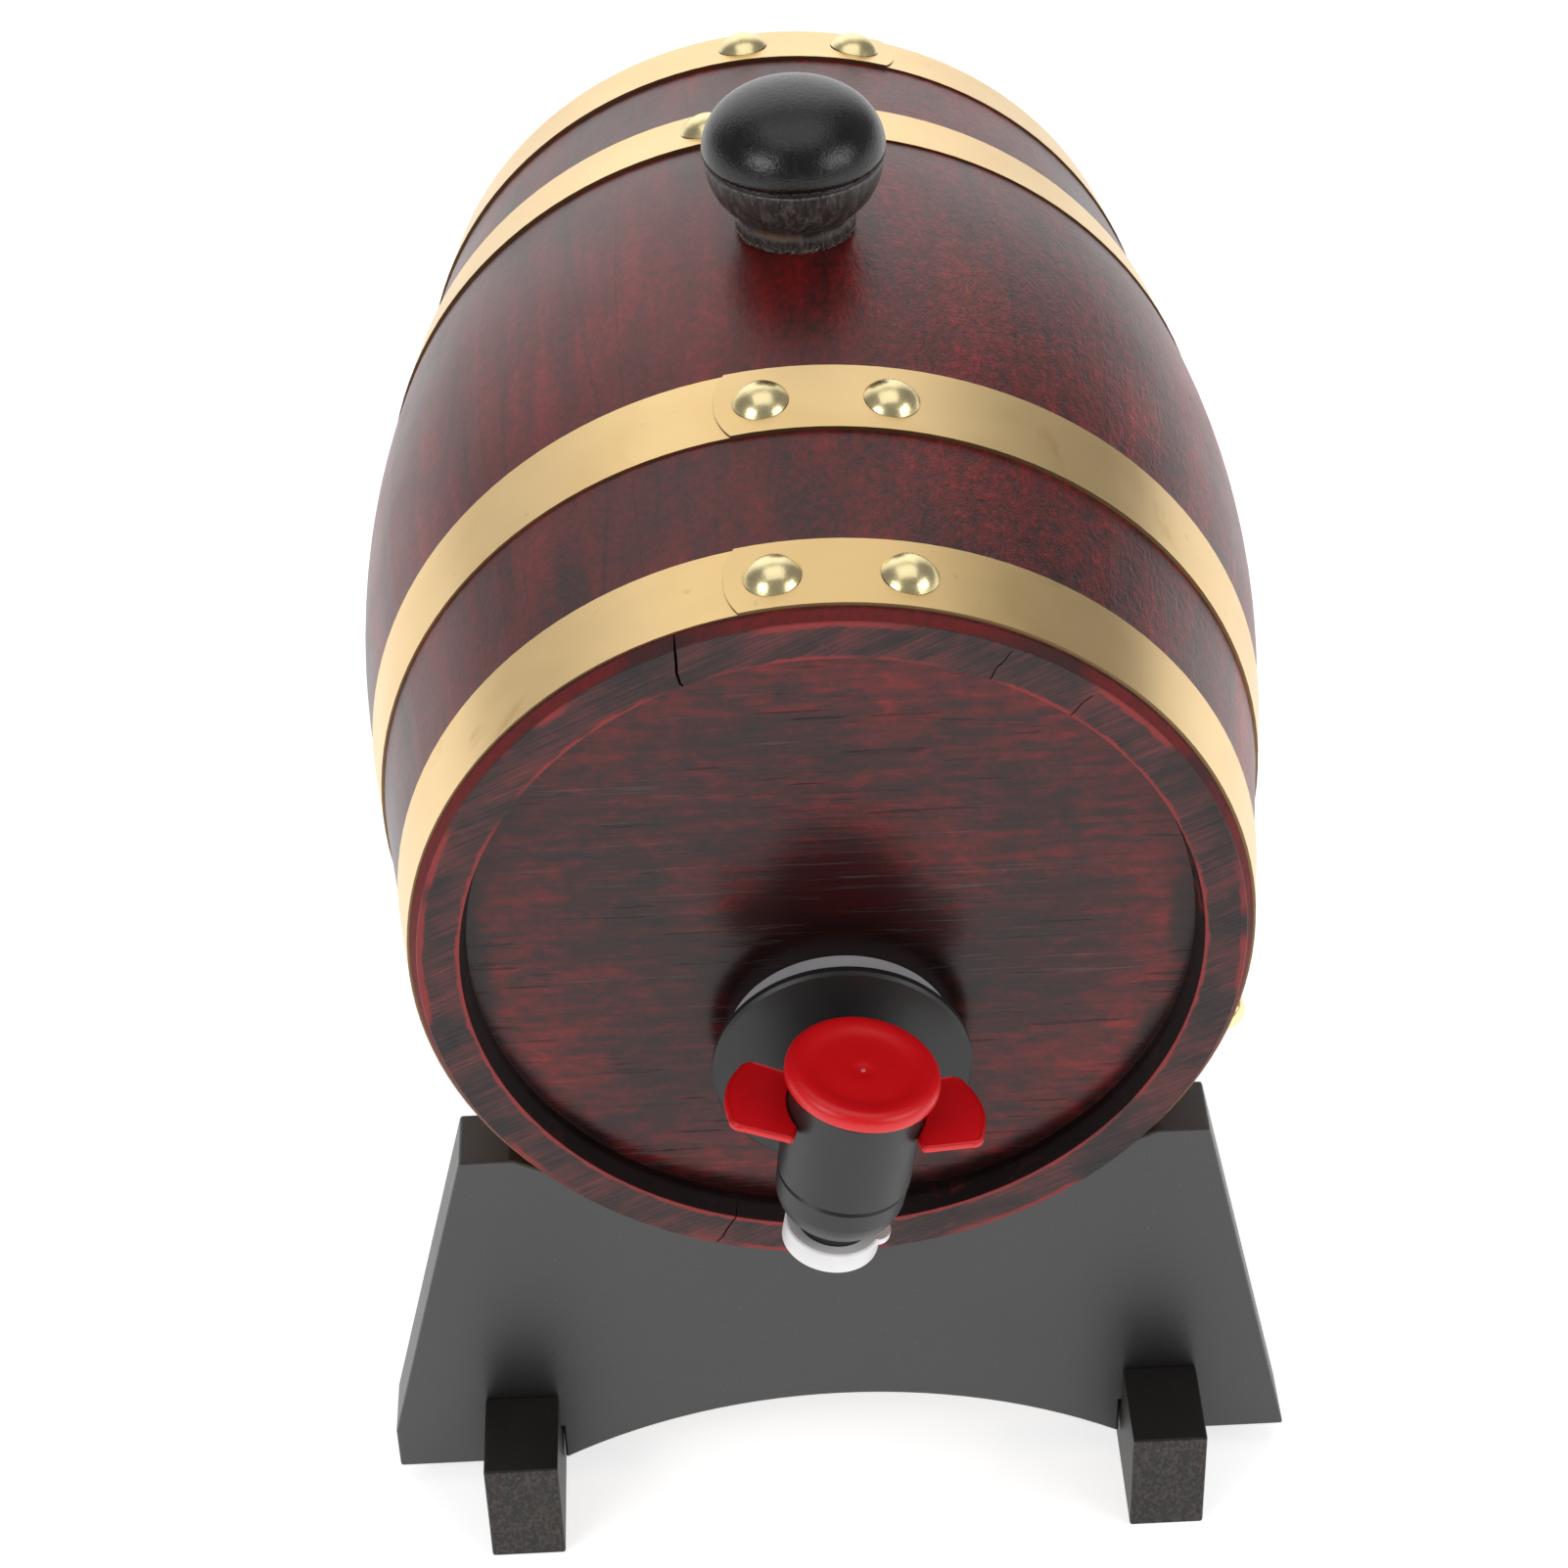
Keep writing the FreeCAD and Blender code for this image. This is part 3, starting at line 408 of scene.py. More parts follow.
def sawn_end(g, place, y):
    """Colour, place and scratches of the sawn end of the staves, with its worn red edges."""
    radius = from_axis(g, place)
    reach = g.math("ABSOLUTE", y)
    end = g.step(reach, HALF_LENGTH - 0.25 * MM, HALF_LENGTH - 0.15 * MM)
    turned = g.turn((0, 26, 0), place)
    saw = g.noise(g.stretch((70, 1, 1900), turned), 1.0, 4, 0.65)
    broad = g.noise(g.stretch((60, 1, 260), turned), 1.0, 3, 0.6)
    tint = g.noise(place, 75, 3, 0.6)
    mix = total(g, [0.5, swing(g, saw, 0.9), swing(g, broad, 0.5), swing(g, tint, 0.9)])
    colour = g.ramp(mix, [
        (0.25, (0.009, 0.006, 0.006)), (0.45, (0.032, 0.012, 0.012)),
        (0.60, (0.085, 0.018, 0.018)), (0.80, (0.17, 0.026, 0.025)),
    ])
    uneven = swing(g, g.noise(place, 220, 3, 0.6), 1.8 * MM)
    near = g.math("ADD", radius, uneven)
    worn_in = g.step(g.noise(place, 42, 2, 0.5), 0.34, 0.44)
    inner_edge = g.times(g.step(near, INNER_EDGE, INNER_EDGE - 0.5 * MM), worn_in)
    worn_out = g.step(g.noise(place, 37, 2, 0.5), 0.47, 0.55)
    outer_edge = g.times(g.step(near, OUTER_EDGE, OUTER_EDGE + 0.5 * MM), worn_out)
    edge = g.math("MAXIMUM", inner_edge, outer_edge)
    return g.mix(g.times(edge, 0.9), colour, (0.27, 0.018, 0.018, 1)), end, saw


def recess_wall_shade(g, place, y):
    """How much painted shade darkens the wall between the end of the staves and the head."""
    radius = from_axis(g, place)
    deep = g.step(g.math("ABSOLUTE", y), HALF_LENGTH - 8 * MM, HALF_LENGTH - 7 * MM)
    wall = g.times(deep, g.step(radius, WALL_RADIUS, WALL_RADIUS - 0.5 * MM))
    patchy = g.step(g.noise(place, 90, 4, 0.7), 0.66, 0.56)
    return g.times(wall, g.between(patchy, 0.25, 0.96))


def bevel_colour(g, place, y, end, colour):
    """The narrow bevel round each end is sanded back to bright red wood in places."""
    radius = from_axis(g, place)
    reach = g.math("ABSOLUTE", y)
    bevel = g.times(g.step(reach, HALF_LENGTH - 1.9 * MM, HALF_LENGTH - 1.7 * MM),
                   g.math("SUBTRACT", 1.0, end))
    bevel = g.times(bevel, g.math("GREATER_THAN", radius, BEVEL_RADIUS))
    red = g.step(g.noise(place, 36, 3, 0.6), 0.34, 0.50)
    grit = g.noise(place, 700, 2, 0.6)
    bright = g.mix(grit, (0.07, 0.005, 0.005, 1), (0.20, 0.010, 0.010, 1))
    return g.mix(bevel, colour, g.mix(red, (0.045, 0.010, 0.010, 1), bright))


def make_head_wood():
    """Boards with fine grain across them, redder near the rim. Painted shade and a painted reflection of
    the tap darken it above the tap, and painted shade darkens the lower corner of the recess."""
    g = Material("stained_head")
    place = barrel_place(g)
    x, y, z = g.split(place)[:3]
    cloud = g.noise(g.stretch((0.8, 1, 1), place), 34, 3, 0.6, 0.4)
    grain = g.noise(g.stretch((0.09, 1, 1), place), 480, 4, 0.65)
    blot = g.noise(g.stretch((0.5, 1, 1), place), 380, 4, 0.7, 0.5)
    radius = from_axis(g, place)
    rim = g.step(radius, 40 * MM, 57 * MM)
    # painted shade and painted reflection of the tap, centred a little above the tap hole
    above_tap = TAP_HOLE - BARREL + Vector((0, 0, 14 * MM))
    from_tap = g.vector("MULTIPLY", g.vector("SUBTRACT", place, tuple(above_tap)), (1.45, 0, 1))
    ragged = g.math("ADD", g.vector("LENGTH", from_tap), swing(g, g.noise(place, 60, 3, 0.5), 9 * MM))
    tap_shade = g.step(ragged, 36 * MM, 23 * MM)
    tap_shade = g.times(tap_shade, g.step(y, 0.02, -0.02))
    red = total(g, [0.405, swing(g, cloud, 0.42), swing(g, grain, 0.42), swing(g, blot, 0.48),
                    g.times(rim, 0.09), g.times(g.step(x, 0, 50 * MM), 0.03)])
    colour = g.ramp(red, STAIN)
    scratch = g.step(g.noise(g.stretch((0.02, 1, 1), place), 1900, 2, 0.6), 0.60, 0.72)
    dusty = g.step(g.noise(g.stretch((0.5, 1, 1), place), 45, 2), 0.44, 0.60)
    pale = g.times(g.times(scratch, dusty), 0.30)
    colour = g.mix(pale, colour, (0.16, 0.10, 0.095, 1))
    line = g.step(g.noise(g.stretch((0.05, 1, 1), place), 900, 2, 0.5), 0.65, 0.71)
    colour = g.mix(g.times(line, 0.6), colour, PORE)
    # the tap's painted shade and reflection, nearly black
    colour = g.mix(g.times(tap_shade, 0.9), colour, (0.008, 0.003, 0.003, 1))
    # painted shade, near black, in the lower corner of the recess round the head
    uneven = swing(g, g.noise(place, 42, 4, 0.65), 17 * MM)
    corner = g.step(g.math("ADD", radius, uneven), 54.0 * MM, 58.0 * MM)
    corner = g.times(corner, g.step(z, 30 * MM, 5 * MM))
    colour = g.mix(g.times(corner, 0.85), colour, (0.006, 0.003, 0.003, 1))
    height = total(g, [grain, g.times(line, -0.8), g.times(scratch, 0.3)])
    normal = g.bump(height, 0.06 * MM)
    rough = g.between(cloud, 0.20, 0.29)
    return g.finish(colour, rough, normal, Specular_IOR_Level=0.38)


# ---------------------------------------------------------------- metal

def crevice_shade(g, reach):
    """1 in narrow gaps and inside corners, 0 in the open. The brass materials paint shade where it is 1."""
    node = g.add("ShaderNodeAmbientOcclusion", samples=6)
    node.inputs["Distance"].default_value = reach
    return g.step(node.outputs["AO"], 0.75, 0.35)


def make_hoop_brass():
    """Satin sheet brass, tarnished in a few places. Its cut edges and lap end are darkened, partly as
    unpolished brass and partly as painted shade of the gaps there, and narrow gaps get painted shade.
    """
    g = Material("hoop_brass")
    place = barrel_place(g)
    cloud = g.noise(place, 40, 3, 0.6, 0.4)
    stain = g.step(g.noise(place, 60, 3, 0.6, 0.8), 0.64, 0.76)
    colour = g.mix(cloud, (0.92, 0.675, 0.345, 1), (0.86, 0.605, 0.285, 1))
    colour = g.mix(g.times(stain, 0.35), colour, (0.62, 0.36, 0.12, 1))
    warm = g.step(g.noise(place, 22, 2, 0.5, 0.5), 0.45, 0.62)
    colour = g.mix(g.times(warm, 0.45), colour, (0.80, 0.55, 0.24, 1))
    speck = g.step(g.noise(place, 420, 2, 0.5), 0.70, 0.76)
    colour = g.mix(g.times(speck, 0.35), colour, (0.55, 0.42, 0.25, 1))
    outward = g.vector("NORMALIZE", g.vector("MULTIPLY", place, (1, 0, 1)))
    facing = g.vector("DOT_PRODUCT", g.add("ShaderNodeTexCoord").outputs["Normal"], outward)
    cut = g.step(facing, 0.75, 0.45)
    # cut edges: partly unpolished brass, partly painted shade of the gap at the lap; narrow gaps: painted
    # shade
    dull_edge_and_shade = g.math("MAXIMUM", g.times(cut, 0.80), g.times(crevice_shade(g, 0.9 * MM), 0.85))
    colour = g.mix(dull_edge_and_shade, colour, (0.075, 0.028, 0.016, 1))
    brushed = g.noise(g.stretch((1, 0.03, 1), place), 1500, 2, 0.5)
    rough = g.between(g.noise(place, 130, 3, 0.6), 0.26, 0.36)
    rough = g.math("ADD", rough, g.times(dull_edge_and_shade, 0.2))
    height = total(g, [g.noise(place, 60, 2, 0.5), g.times(brushed, 0.02)])
    return g.finish(colour, rough, g.bump(height, 0.12 * MM), Metallic=1.0)


def make_rivet_brass():
    """Polished brass, a little uneven, with painted shade where a head meets the hoop."""
    g = Material("rivet_brass")
    cloud = g.noise(g.place, 300, 3, 0.6)
    colour = g.mix(cloud, (0.93, 0.80, 0.47, 1), (0.88, 0.73, 0.38, 1))
    # painted shade, warm brown, in the narrow gap where a head meets the hoop
    colour = g.mix(crevice_shade(g, 0.5 * MM), colour, (0.50, 0.25, 0.04, 1))
    rough = g.between(g.noise(g.place, 700, 3, 0.6), 0.20, 0.34)
    height = total(g, [g.noise(g.place, 350, 3, 0.6), g.times(g.noise(g.place, 1600, 2), 0.3)])
    return g.finish(colour, rough, g.bump(height, 0.05 * MM), Metallic=1.0)


# ---------------------------------------------------------------- paint and plastic

def make_board_black():
    """Smooth black paint with a low sheen and a little dust."""
    g = Material("stand_black")
    cloud = g.noise(g.place, 35, 4, 0.6)
    grain = g.noise(g.stretch((0.15, 1, 1), g.place), 500, 3, 0.6)
    colour = g.mix(cloud, (0.012, 0.0115, 0.012, 1), (0.022, 0.021, 0.022, 1))
    speck = g.step(g.noise(g.place, 2200, 1, 0.5), 0.74, 0.78)
    colour = g.mix(g.times(speck, 0.5), colour, (0.12, 0.10, 0.09, 1))
    rough = g.between(g.noise(g.place, 14, 3, 0.6), 0.34, 0.50)
    normal = g.bump(g.math("ADD", grain, g.noise(g.place, 1200, 2)), 0.03 * MM)
    return g.finish(colour, rough, normal, Specular_IOR_Level=0.85)


def make_rail_black():
    """Thin black stain on rails of rough board, the sawn ends brown and speckled."""
    g = Material("rail_black")
    cloud = g.noise(g.place, 60, 4, 0.6)
    grain = g.noise(g.stretch((1, 0.06, 1), g.place), 700, 3, 0.65)
    colour = g.mix(cloud, (0.009, 0.008, 0.0075, 1), (0.018, 0.015, 0.013, 1))
    facing = g.split(g.add("ShaderNodeTexCoord").outputs["Normal"])[1]
    end = g.step(g.math("ABSOLUTE", facing), 0.7, 0.9)
    dots = g.noise(g.stretch((1, 1, 0.6), g.place), 1500, 3, 0.7)
    sawn = g.mix(g.step(dots, 0.40, 0.72), (0.008, 0.006, 0.005, 1), (0.065, 0.048, 0.038, 1))
    colour = g.mix(end, colour, sawn)
    rough = g.between(cloud, 0.42, 0.58)
    height = total(g, [g.times(grain, 0.8), g.times(dots, end)])
    return g.finish(colour, rough, g.bump(height, 0.08 * MM), Specular_IOR_Level=0.40)


# how far below the top of the stopper its parts lie, in millimetres
DOME_EDGE = 11.2
BOWL_EDGE = 12.25
BOWL_FOOT = 21.2


def make_stopper_black():
    """Turned black wood, glossy on the dome, brown and dusty on the bowl and frayed on the neck."""
    g = Material("stopper_black")
    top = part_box("stopper")[1][2]
    z = g.split(g.place)[2]
    low = g.step(z, top - (DOME_EDGE + 0.2) * MM, top - (DOME_EDGE + 1.8) * MM)
    neck = g.step(z, top - (BOWL_FOOT + 0.4) * MM, top - (BOWL_FOOT + 1.6) * MM)
    grain = g.noise(g.stretch((1, 1, 0.10), g.place), 900, 4, 0.65)
    speck = g.noise(g.place, 1500, 2, 0.6)
    dust = g.step(g.noise(g.stretch((1, 1, 0.3), g.place), 800, 5, 0.75), 0.44, 0.66)
    colour = g.mix(g.step(grain, 0.45, 0.7), (0.0055, 0.005, 0.005, 1), (0.014, 0.011, 0.011, 1))
    colour = g.mix(g.times(low, 0.8), colour, (0.034, 0.028, 0.026, 1))
    colour = g.mix(g.times(dust, g.between(low, 0.03, 0.9)), colour, (0.115, 0.098, 0.092, 1))
    fleck = g.step(g.noise(g.stretch((1, 1, 0.3), g.place), 1900, 2, 0.6), 0.68, 0.74)
    colour = g.mix(g.times(fleck, g.times(low, 0.6)), colour, (0.20, 0.16, 0.13, 1))
    fibre = g.step(g.noise(g.stretch((1, 1, 0.07), g.place), 1500, 3, 0.7), 0.50, 0.74)
    colour = g.mix(g.times(fibre, g.times(neck, 0.8)), colour, (0.13, 0.10, 0.075, 1))
    # the two groove edges are lightened, partly as worn paint and partly as a painted highlight
    for edge in (DOME_EDGE, BOWL_EDGE):
        near = g.math("ABSOLUTE", g.math("SUBTRACT", z, top - edge * MM))
        rubbed_and_highlight = g.times(g.step(near, 0.16 * MM, 0.06 * MM), g.step(speck, 0.35, 0.6))
        colour = g.mix(g.times(rubbed_and_highlight, 0.8), colour, (0.17, 0.155, 0.15, 1))
    worn = g.times(g.step(z, top - (BOWL_FOOT - 0.4) * MM, top - (BOWL_FOOT + 0.4) * MM),
                   g.step(z, top - (BOWL_FOOT + 2.0) * MM, top - (BOWL_FOOT + 1.2) * MM))
    worn = g.times(worn, g.step(g.noise(g.place, 130, 3, 0.6), 0.45, 0.62))
    colour = g.mix(g.times(worn, 0.75), colour, (0.17, 0.095, 0.055, 1))
    grit = g.noise(g.place, 3200, 2, 0.6)
    height = total(g, [g.times(grain, g.between(low, 0.25, 1.0)), speck, grit,
                       g.times(fibre, g.times(neck, 2.0))])
    rough = g.math("ADD", g.between(speck, 0.15, 0.26), g.times(low, 0.25))
    return g.finish(colour, rough, g.bump(height, 0.055 * MM))


def make_plastic(name, first, second, rough_low, rough_high):
    """Moulded plastic with a fine texture, slightly uneven in colour and gloss."""
    g = Material(name)
    cloud = g.noise(g.place, 120, 3, 0.6)
    grit = g.noise(g.place, 2600, 2, 0.6)
    colour = g.mix(cloud, (*first, 1), (*second, 1))
    rough = g.between(g.noise(g.place, 260, 3, 0.6), rough_low, rough_high)
    return g.finish(colour, rough, g.bump(grit, 0.02 * MM))


def make_cap_plastic():
    """Milky plastic that lets a little light in."""
    g = Material("dust_cap_plastic")
    cloud = g.noise(g.place, 200, 3, 0.6)
    colour = g.mix(cloud, (0.95, 0.93, 0.94, 1), (0.86, 0.84, 0.85, 1))
    normal = g.bump(g.noise(g.place, 1500, 2), 0.02 * MM)
    rough = g.between(cloud, 0.28, 0.40)
    return g.finish(colour, rough, normal, Subsurface_Weight=0.15, Subsurface_Scale=0.002)


def make_gate_pink():
    """The scar where the thumb disc's moulding sprue was cut off."""
    g = Material("gate_pink")
    cloud = g.noise(g.place, 2500, 2, 0.6)
    colour = g.mix(cloud, (0.90, 0.10, 0.14, 1), (0.85, 0.30, 0.33, 1))
    return g.finish(colour, g.between(cloud, 0.3, 0.5), g.bump(cloud, 0.05 * MM))


def paint(node, material):
    data = frame["nodes"][node].data
    data.materials.clear()
    data.materials.append(material)


def paint_all():
    """Gives every CAD node its slot's material, and returns the materials by slot."""
    by_slot = {
        "stand_black": make_board_black(),
        "stave_wood": make_stave_wood(),
        "head_wood": make_head_wood(),
        "hoop_brass": make_hoop_brass(),
        "rivet_brass": make_rivet_brass(),
        "gland_plastic": make_plastic("gland_plastic", (0.42, 0.40, 0.43), (0.50, 0.48, 0.51), 0.35, 0.5),
        "stopper_black": make_stopper_black(),
        "tap_black": make_plastic("tap_black", (0.012, 0.012, 0.012), (0.02, 0.02, 0.02), 0.34, 0.46),
        "tap_red": make_plastic("tap_red", (0.80, 0.004, 0.009), (0.72, 0.003, 0.007), 0.30, 0.42),
        "seal_rubber": make_plastic("seal_rubber", (0.02, 0.02, 0.02), (0.03, 0.03, 0.03), 0.5, 0.6),
        "dust_cap_plastic": make_cap_plastic(),
    }
    for part in frame["record"]["subparts"]:
        paint(part["node"], by_slot[part["material_slot"]])
    rail_black = make_rail_black()
    for rail in RAILS:
        paint(rail, rail_black)
    return by_slot


# ---------------------------------------------------------------- finer shapes

def soften(node, width, segments=2):
    """Rounds a CAD piece's sharp edges with modifiers."""
    piece = frame["nodes"][node]
    piece.modifiers.new("weld", "WELD").merge_threshold = 0.001 * MM
    flat = piece.modifiers.new("flat", "DECIMATE")
    flat.decimate_type = "DISSOLVE"
    flat.angle_limit = math.radians(0.5)
    edge = piece.modifiers.new("edge", "BEVEL")
    edge.width = width
    edge.segments = segments
    edge.limit_method = "ANGLE"
    edge.angle_limit = math.radians(40)
    edge.harden_normals = True


def new_piece(name, shape, material, body, replaced=None):
    """A finished mesh that moves with a body and, where given, stands in for a CAD node."""
    mesh = bpy.data.meshes.new(name)
    shape.to_mesh(mesh)
    shape.free()
    mesh.shade_smooth()
    mesh.materials.append(material)
    piece = bpy.data.objects.new(name, mesh)
    bpy.context.scene.collection.objects.link(piece)
    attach(piece, body)
    if replaced:
        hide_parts(replaced)
    return piece


def lathe(profile, turns, place, wobble=None):
    """A surface of revolution about the place's own Z from (radius, height) pairs. wobble changes a
    point's radius and height, given its angle."""
    shape = bmesh.new()
    angles = [2 * math.pi * turn / turns for turn in range(turns)]
    rings = []
    for radius, height in profile:
        ring = []
        for angle in angles if radius else [0.0]:
            out, up = wobble(radius, height, angle) if wobble else (radius, height)
            point = Vector((out * math.cos(angle), out * math.sin(angle), up))
            ring.append(shape.verts.new(place @ point))
        rings.append(ring)
    for lower, upper in zip(rings, rings[1:]):
        for turn in range(turns):
            after = (turn + 1) % turns
            corners = [lower[turn % len(lower)], lower[after % len(lower)],
                       upper[after % len(upper)], upper[turn % len(upper)]]
            unique = list(dict.fromkeys(corners))
            if len(unique) > 2:
                shape.faces.new(unique)
    bmesh.ops.recalc_face_normals(shape, faces=shape.faces)
    return shape


def arc(centre, radius, start, finish, steps):
    """Points of a round stretch of a profile, from start to finish in degrees from level."""
    points = []
    for step in range(steps + 1):
        angle = math.radians(start + (finish - start) * step / steps)
        points.append((centre[0] + radius * math.cos(angle), centre[1] + radius * math.sin(angle)))
    return points


def stopper_profile():
    """Radius and depth below the top of the stopper, in millimetres, from the plug up to the dome."""
    plug = [(0, -41.2), (7.9, -41.2), (8.7, -40.4), (9.85, -25.6)]
    neck = [(9.95, -25.0), (10.1, -24.2), (10.22, -23.4), (10.18, -23.1), (10.05, -22.8), (9.95, -22.5)]
    bowl = [(9.95, -22.1), (10.3, -21.4), (11.2, -20.6), (12.3, -19.5), (13.3, -18.2), (14.05, -16.7),
            (14.6, -15.1), (14.9, -13.7), (15.05, -12.7), (15.1, -12.3)]
    grooves = [(14.95, -12.15), (14.95, -12.0), (15.12, -11.85), (15.17, -11.68), (15.02, -11.55),
               (15.02, -11.42), (15.3, -11.2)]
    return plug + neck + bowl + grooves + superellipse(15.35, 11.1, 2.15, 22)


def superellipse(across, tall, power, steps):
    """A dome's section from just above its widest place up to its top, which is at height 0."""
    points = []
    for step in range(1, steps):
        angle = math.pi / 2 * step / steps
        radius = across * math.cos(angle) ** (2 / power)
        height = tall * math.sin(angle) ** (2 / power) - tall
        points.append((radius, height))
    return points + [(0, 0)]


def make_stopper(material):
    """The turned knob, with a frayed edge where its neck enters the bung hole."""
    low, high = [Vector(corner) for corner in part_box("stopper")]
    centre = (low + high) / 2
    place = Matrix.Translation((centre.x, centre.y, high.z)) @ Matrix.Scale(MM, 4)
    ragged = random.Random(4)
    waves = [(ragged.uniform(0, 6.28), ragged.randint(9, 60)) for _ in range(7)]

    def fray(radius, height, angle):
        rough = sum(math.sin(angle * count + phase) for phase, count in waves) / len(waves)
        if -25.5 < height < -23.0:
            return radius + 0.22 * rough, height + 0.25 * rough
        return radius, height

    knob = lathe(stopper_profile(), 192, place, fray)
    new_piece("turned_stopper", knob, material, "stopper", "stopper")
    make_fibres(place, ragged)


def make_fibres(place, ragged):
    """Loose splinters that stand out all round the foot of the neck."""
    splinters = bmesh.new()
    for _ in range(620):
        angle = ragged.uniform(0, 2 * math.pi)
        long = ragged.uniform(0.2, 0.95)
        wide = ragged.uniform(0.035, 0.085)
        height = ragged.triangular(-25.3, -24.1, -25.2)
        foot = Matrix.Rotation(angle, 4, "Z") @ Matrix.Translation((10.0, 0, height))
        outward = Matrix.Rotation(math.radians(ragged.uniform(5, 100)), 4, "Y")
        lean = outward @ Matrix.Rotation(math.radians(ragged.uniform(-80, 80)), 4, "X")
        corners = [(0, -wide, 0), (0.08, wide, 0), (-0.08, wide, 0), (0.05, 0, long)]
        verts = [splinters.verts.new(place @ foot @ lean @ Vector(corner)) for corner in corners]
        for face in ((0, 1, 3), (1, 2, 3), (2, 0, 3), (0, 2, 1)):
            splinters.faces.new([verts[corner] for corner in face])
    fibre = Material("fibre_pale")
    tint = fibre.noise(fibre.place, 900, 2)
    colour = fibre.mix(tint, (0.06, 0.045, 0.035, 1), (0.66, 0.52, 0.40, 1))
    new_piece("stopper_fibres", splinters, fibre.finish(colour, 0.6), "stopper")


def tap_place():
    """The tap's own frame: its origin where the spout and the arm cross, Z up along the spout."""
    upward = -Vector(JOINTS["button_press"]["axis"])
    across = Vector((0, 1, 0)).cross(upward).normalized()
    turn = Matrix((across, (0, 1, 0), upward)).transposed().to_4x4()
    return Matrix.Translation(TAP_HOLE) @ turn @ Matrix.Scale(MM, 4), math.asin(upward.x)


RIM_ROUND = 1.8


def make_button(material):
    """The thumb disc: a shallow dish with a dimple, a soft rim, a skirt and the guide below."""
    place, lean = tap_place()
    low, high = [Vector(corner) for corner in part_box("push_button")]
    radius = (high.y - low.y) / 2 / MM
    rise = (high.z - place.translation.z) / MM
    top = (rise - (radius - RIM_ROUND) * math.sin(lean)) / math.cos(lean)
    dish = [(0, -1.25), (0.9, -1.24), (1.5, -1.02), (2.1, -0.95), (4.0, -0.93), (6.0, -0.88), (7.4, -0.78),
            (8.2, -0.60), (8.9, -0.32), (9.6, -0.10), (10.5, 0.0)]
    rim = arc((radius - RIM_ROUND, -RIM_ROUND), RIM_ROUND, 88, 0, 9)
    skirt = [(radius, -2.6), (radius - 0.12, -2.88), (radius - 0.4, -3.0), (radius - 1.25, -3.0),
             (radius - 1.25, -1.6)]
    guide = [(8.43, -1.6), (8.43, -10.4), (7.1, -10.4), (7.1, -1.6), (0, -1.6)]
    profile = [(out, top + up) for out, up in dish + rim + skirt + guide]
    disc = new_piece("thumb_disc", lathe(profile, 128, place), material, "tap_button", "push_button")
    make_gate_scar(place, top)


def make_gate_scar(place, top):
    """The ragged stub of the moulding's sprue in the dimple of the thumb disc."""
    profile = [(0, -1.2), (0.42, -1.2), (0.40, -1.06), (0.22, -1.00), (0, -0.98)]
    sides = 14
    lump = random.Random(11)
    shifts = [lump.uniform(0.75, 1.2) for _ in range(sides)]

    def rough(out, up, angle):
        return out * shifts[round(angle / (2 * math.pi) * sides) % sides], up

    stub = lathe([(out, top + up) for out, up in profile], sides, place, rough)
    new_piece("gate_scar", stub, make_gate_pink(), "tap_button")


LIP_WIDE = 0.5 * MM
LIP_TALL = 0.35 * MM


def make_wings(material):
    """The finger wings, with a low lip round their upper faces and rounded edges."""
    upward = -Vector(JOINTS["button_press"]["axis"]).normalized()
    shape = bmesh.new()
    shape.from_mesh(frame["nodes"]["finger_wings"].data)
    bmesh.ops.remove_doubles(shape, verts=shape.verts, dist=0.001 * MM)
    bmesh.ops.dissolve_limit(shape, angle_limit=math.radians(1), verts=shape.verts, edges=shape.edges)
    tops = [face for face in shape.faces if face.normal.dot(upward) > 0.99]
    bmesh.ops.inset_region(shape, faces=tops, thickness=LIP_WIDE, depth=0, use_even_offset=True)
    for vert in {vert for face in tops for vert in face.verts}:
        vert.co -= upward * LIP_TALL
    sharp = [edge for edge in shape.edges if edge.is_manifold and edge.calc_face_angle() > math.radians(28)]
    bmesh.ops.bevel(shape, geom=sharp, offset=0.35 * MM, segments=3, affect="EDGES", clamp_overlap=True)
    bmesh.ops.recalc_face_normals(shape, faces=shape.faces)
    wings = new_piece("wing_pads", shape, material, "tap", "finger_wings")
    wings.modifiers.new("even", "WEIGHTED_NORMAL").weight = 90


# a nail head's height as a plain solid, and how much wider and taller it is made
NAIL_TALL = 2.0 * MM
NAIL_WIDER = 1.3
NAIL_TALLER = 1.7


def make_nails(material):
    """The two hoop nails, with heads that are wider and rounder than their plain solids."""
    shape = bmesh.new()
    shape.from_mesh(frame["nodes"]["hoop_nails"].data)
    for end in (-1, 1):
        verts = [vert for vert in shape.verts if (vert.co.y - BARREL.y) * end > 0]
        outward = sum((vert.co for vert in verts), Vector()) / len(verts) - BARREL
        outward.y = 0
        outward.normalize()
        top = max(verts, key=lambda vert: (vert.co.x - BARREL.x) ** 2 + (vert.co.z - BARREL.z) ** 2)
        foot = top.co - outward * NAIL_TALL
        for vert in verts:
            along = (vert.co - foot).dot(outward)
            if along > -0.1 * MM:
                across = vert.co - foot - outward * along
                vert.co = foot + across * NAIL_WIDER + outward * along * NAIL_TALLER
    new_piece("nail_heads", shape, material, "barrel", "hoop_nails")


# Drying cracks in the front end of the staves: the stave, the angle from the top in degrees, the
# sideways wander and the width in millimetres, and the radius where the crack stops.
CRACKS = {
    "crack_upper_left": ("bung_stave", -20.6, (0.4, -0.8, -0.5, 0.3, 1.0, 1.7), 0.40, 69.0),
    "crack_upper_right": ("bung_stave", 24.4, (-0.3, 0.1, 0.0, 0.6, 0.8), 0.18, 66.0),
    "crack_right": ("stave_02", 38.2, (-0.2, 0.2, 0.1, 0.5), 0.18, 65.0),
    "crack_bottom": ("stave_08", 197.6, (-0.8, -0.3, 0.2, 0.5, 1.3), 0.26, 67.0),
}
CRACK_START = 58.5
CRACK_DEEP = 5.0


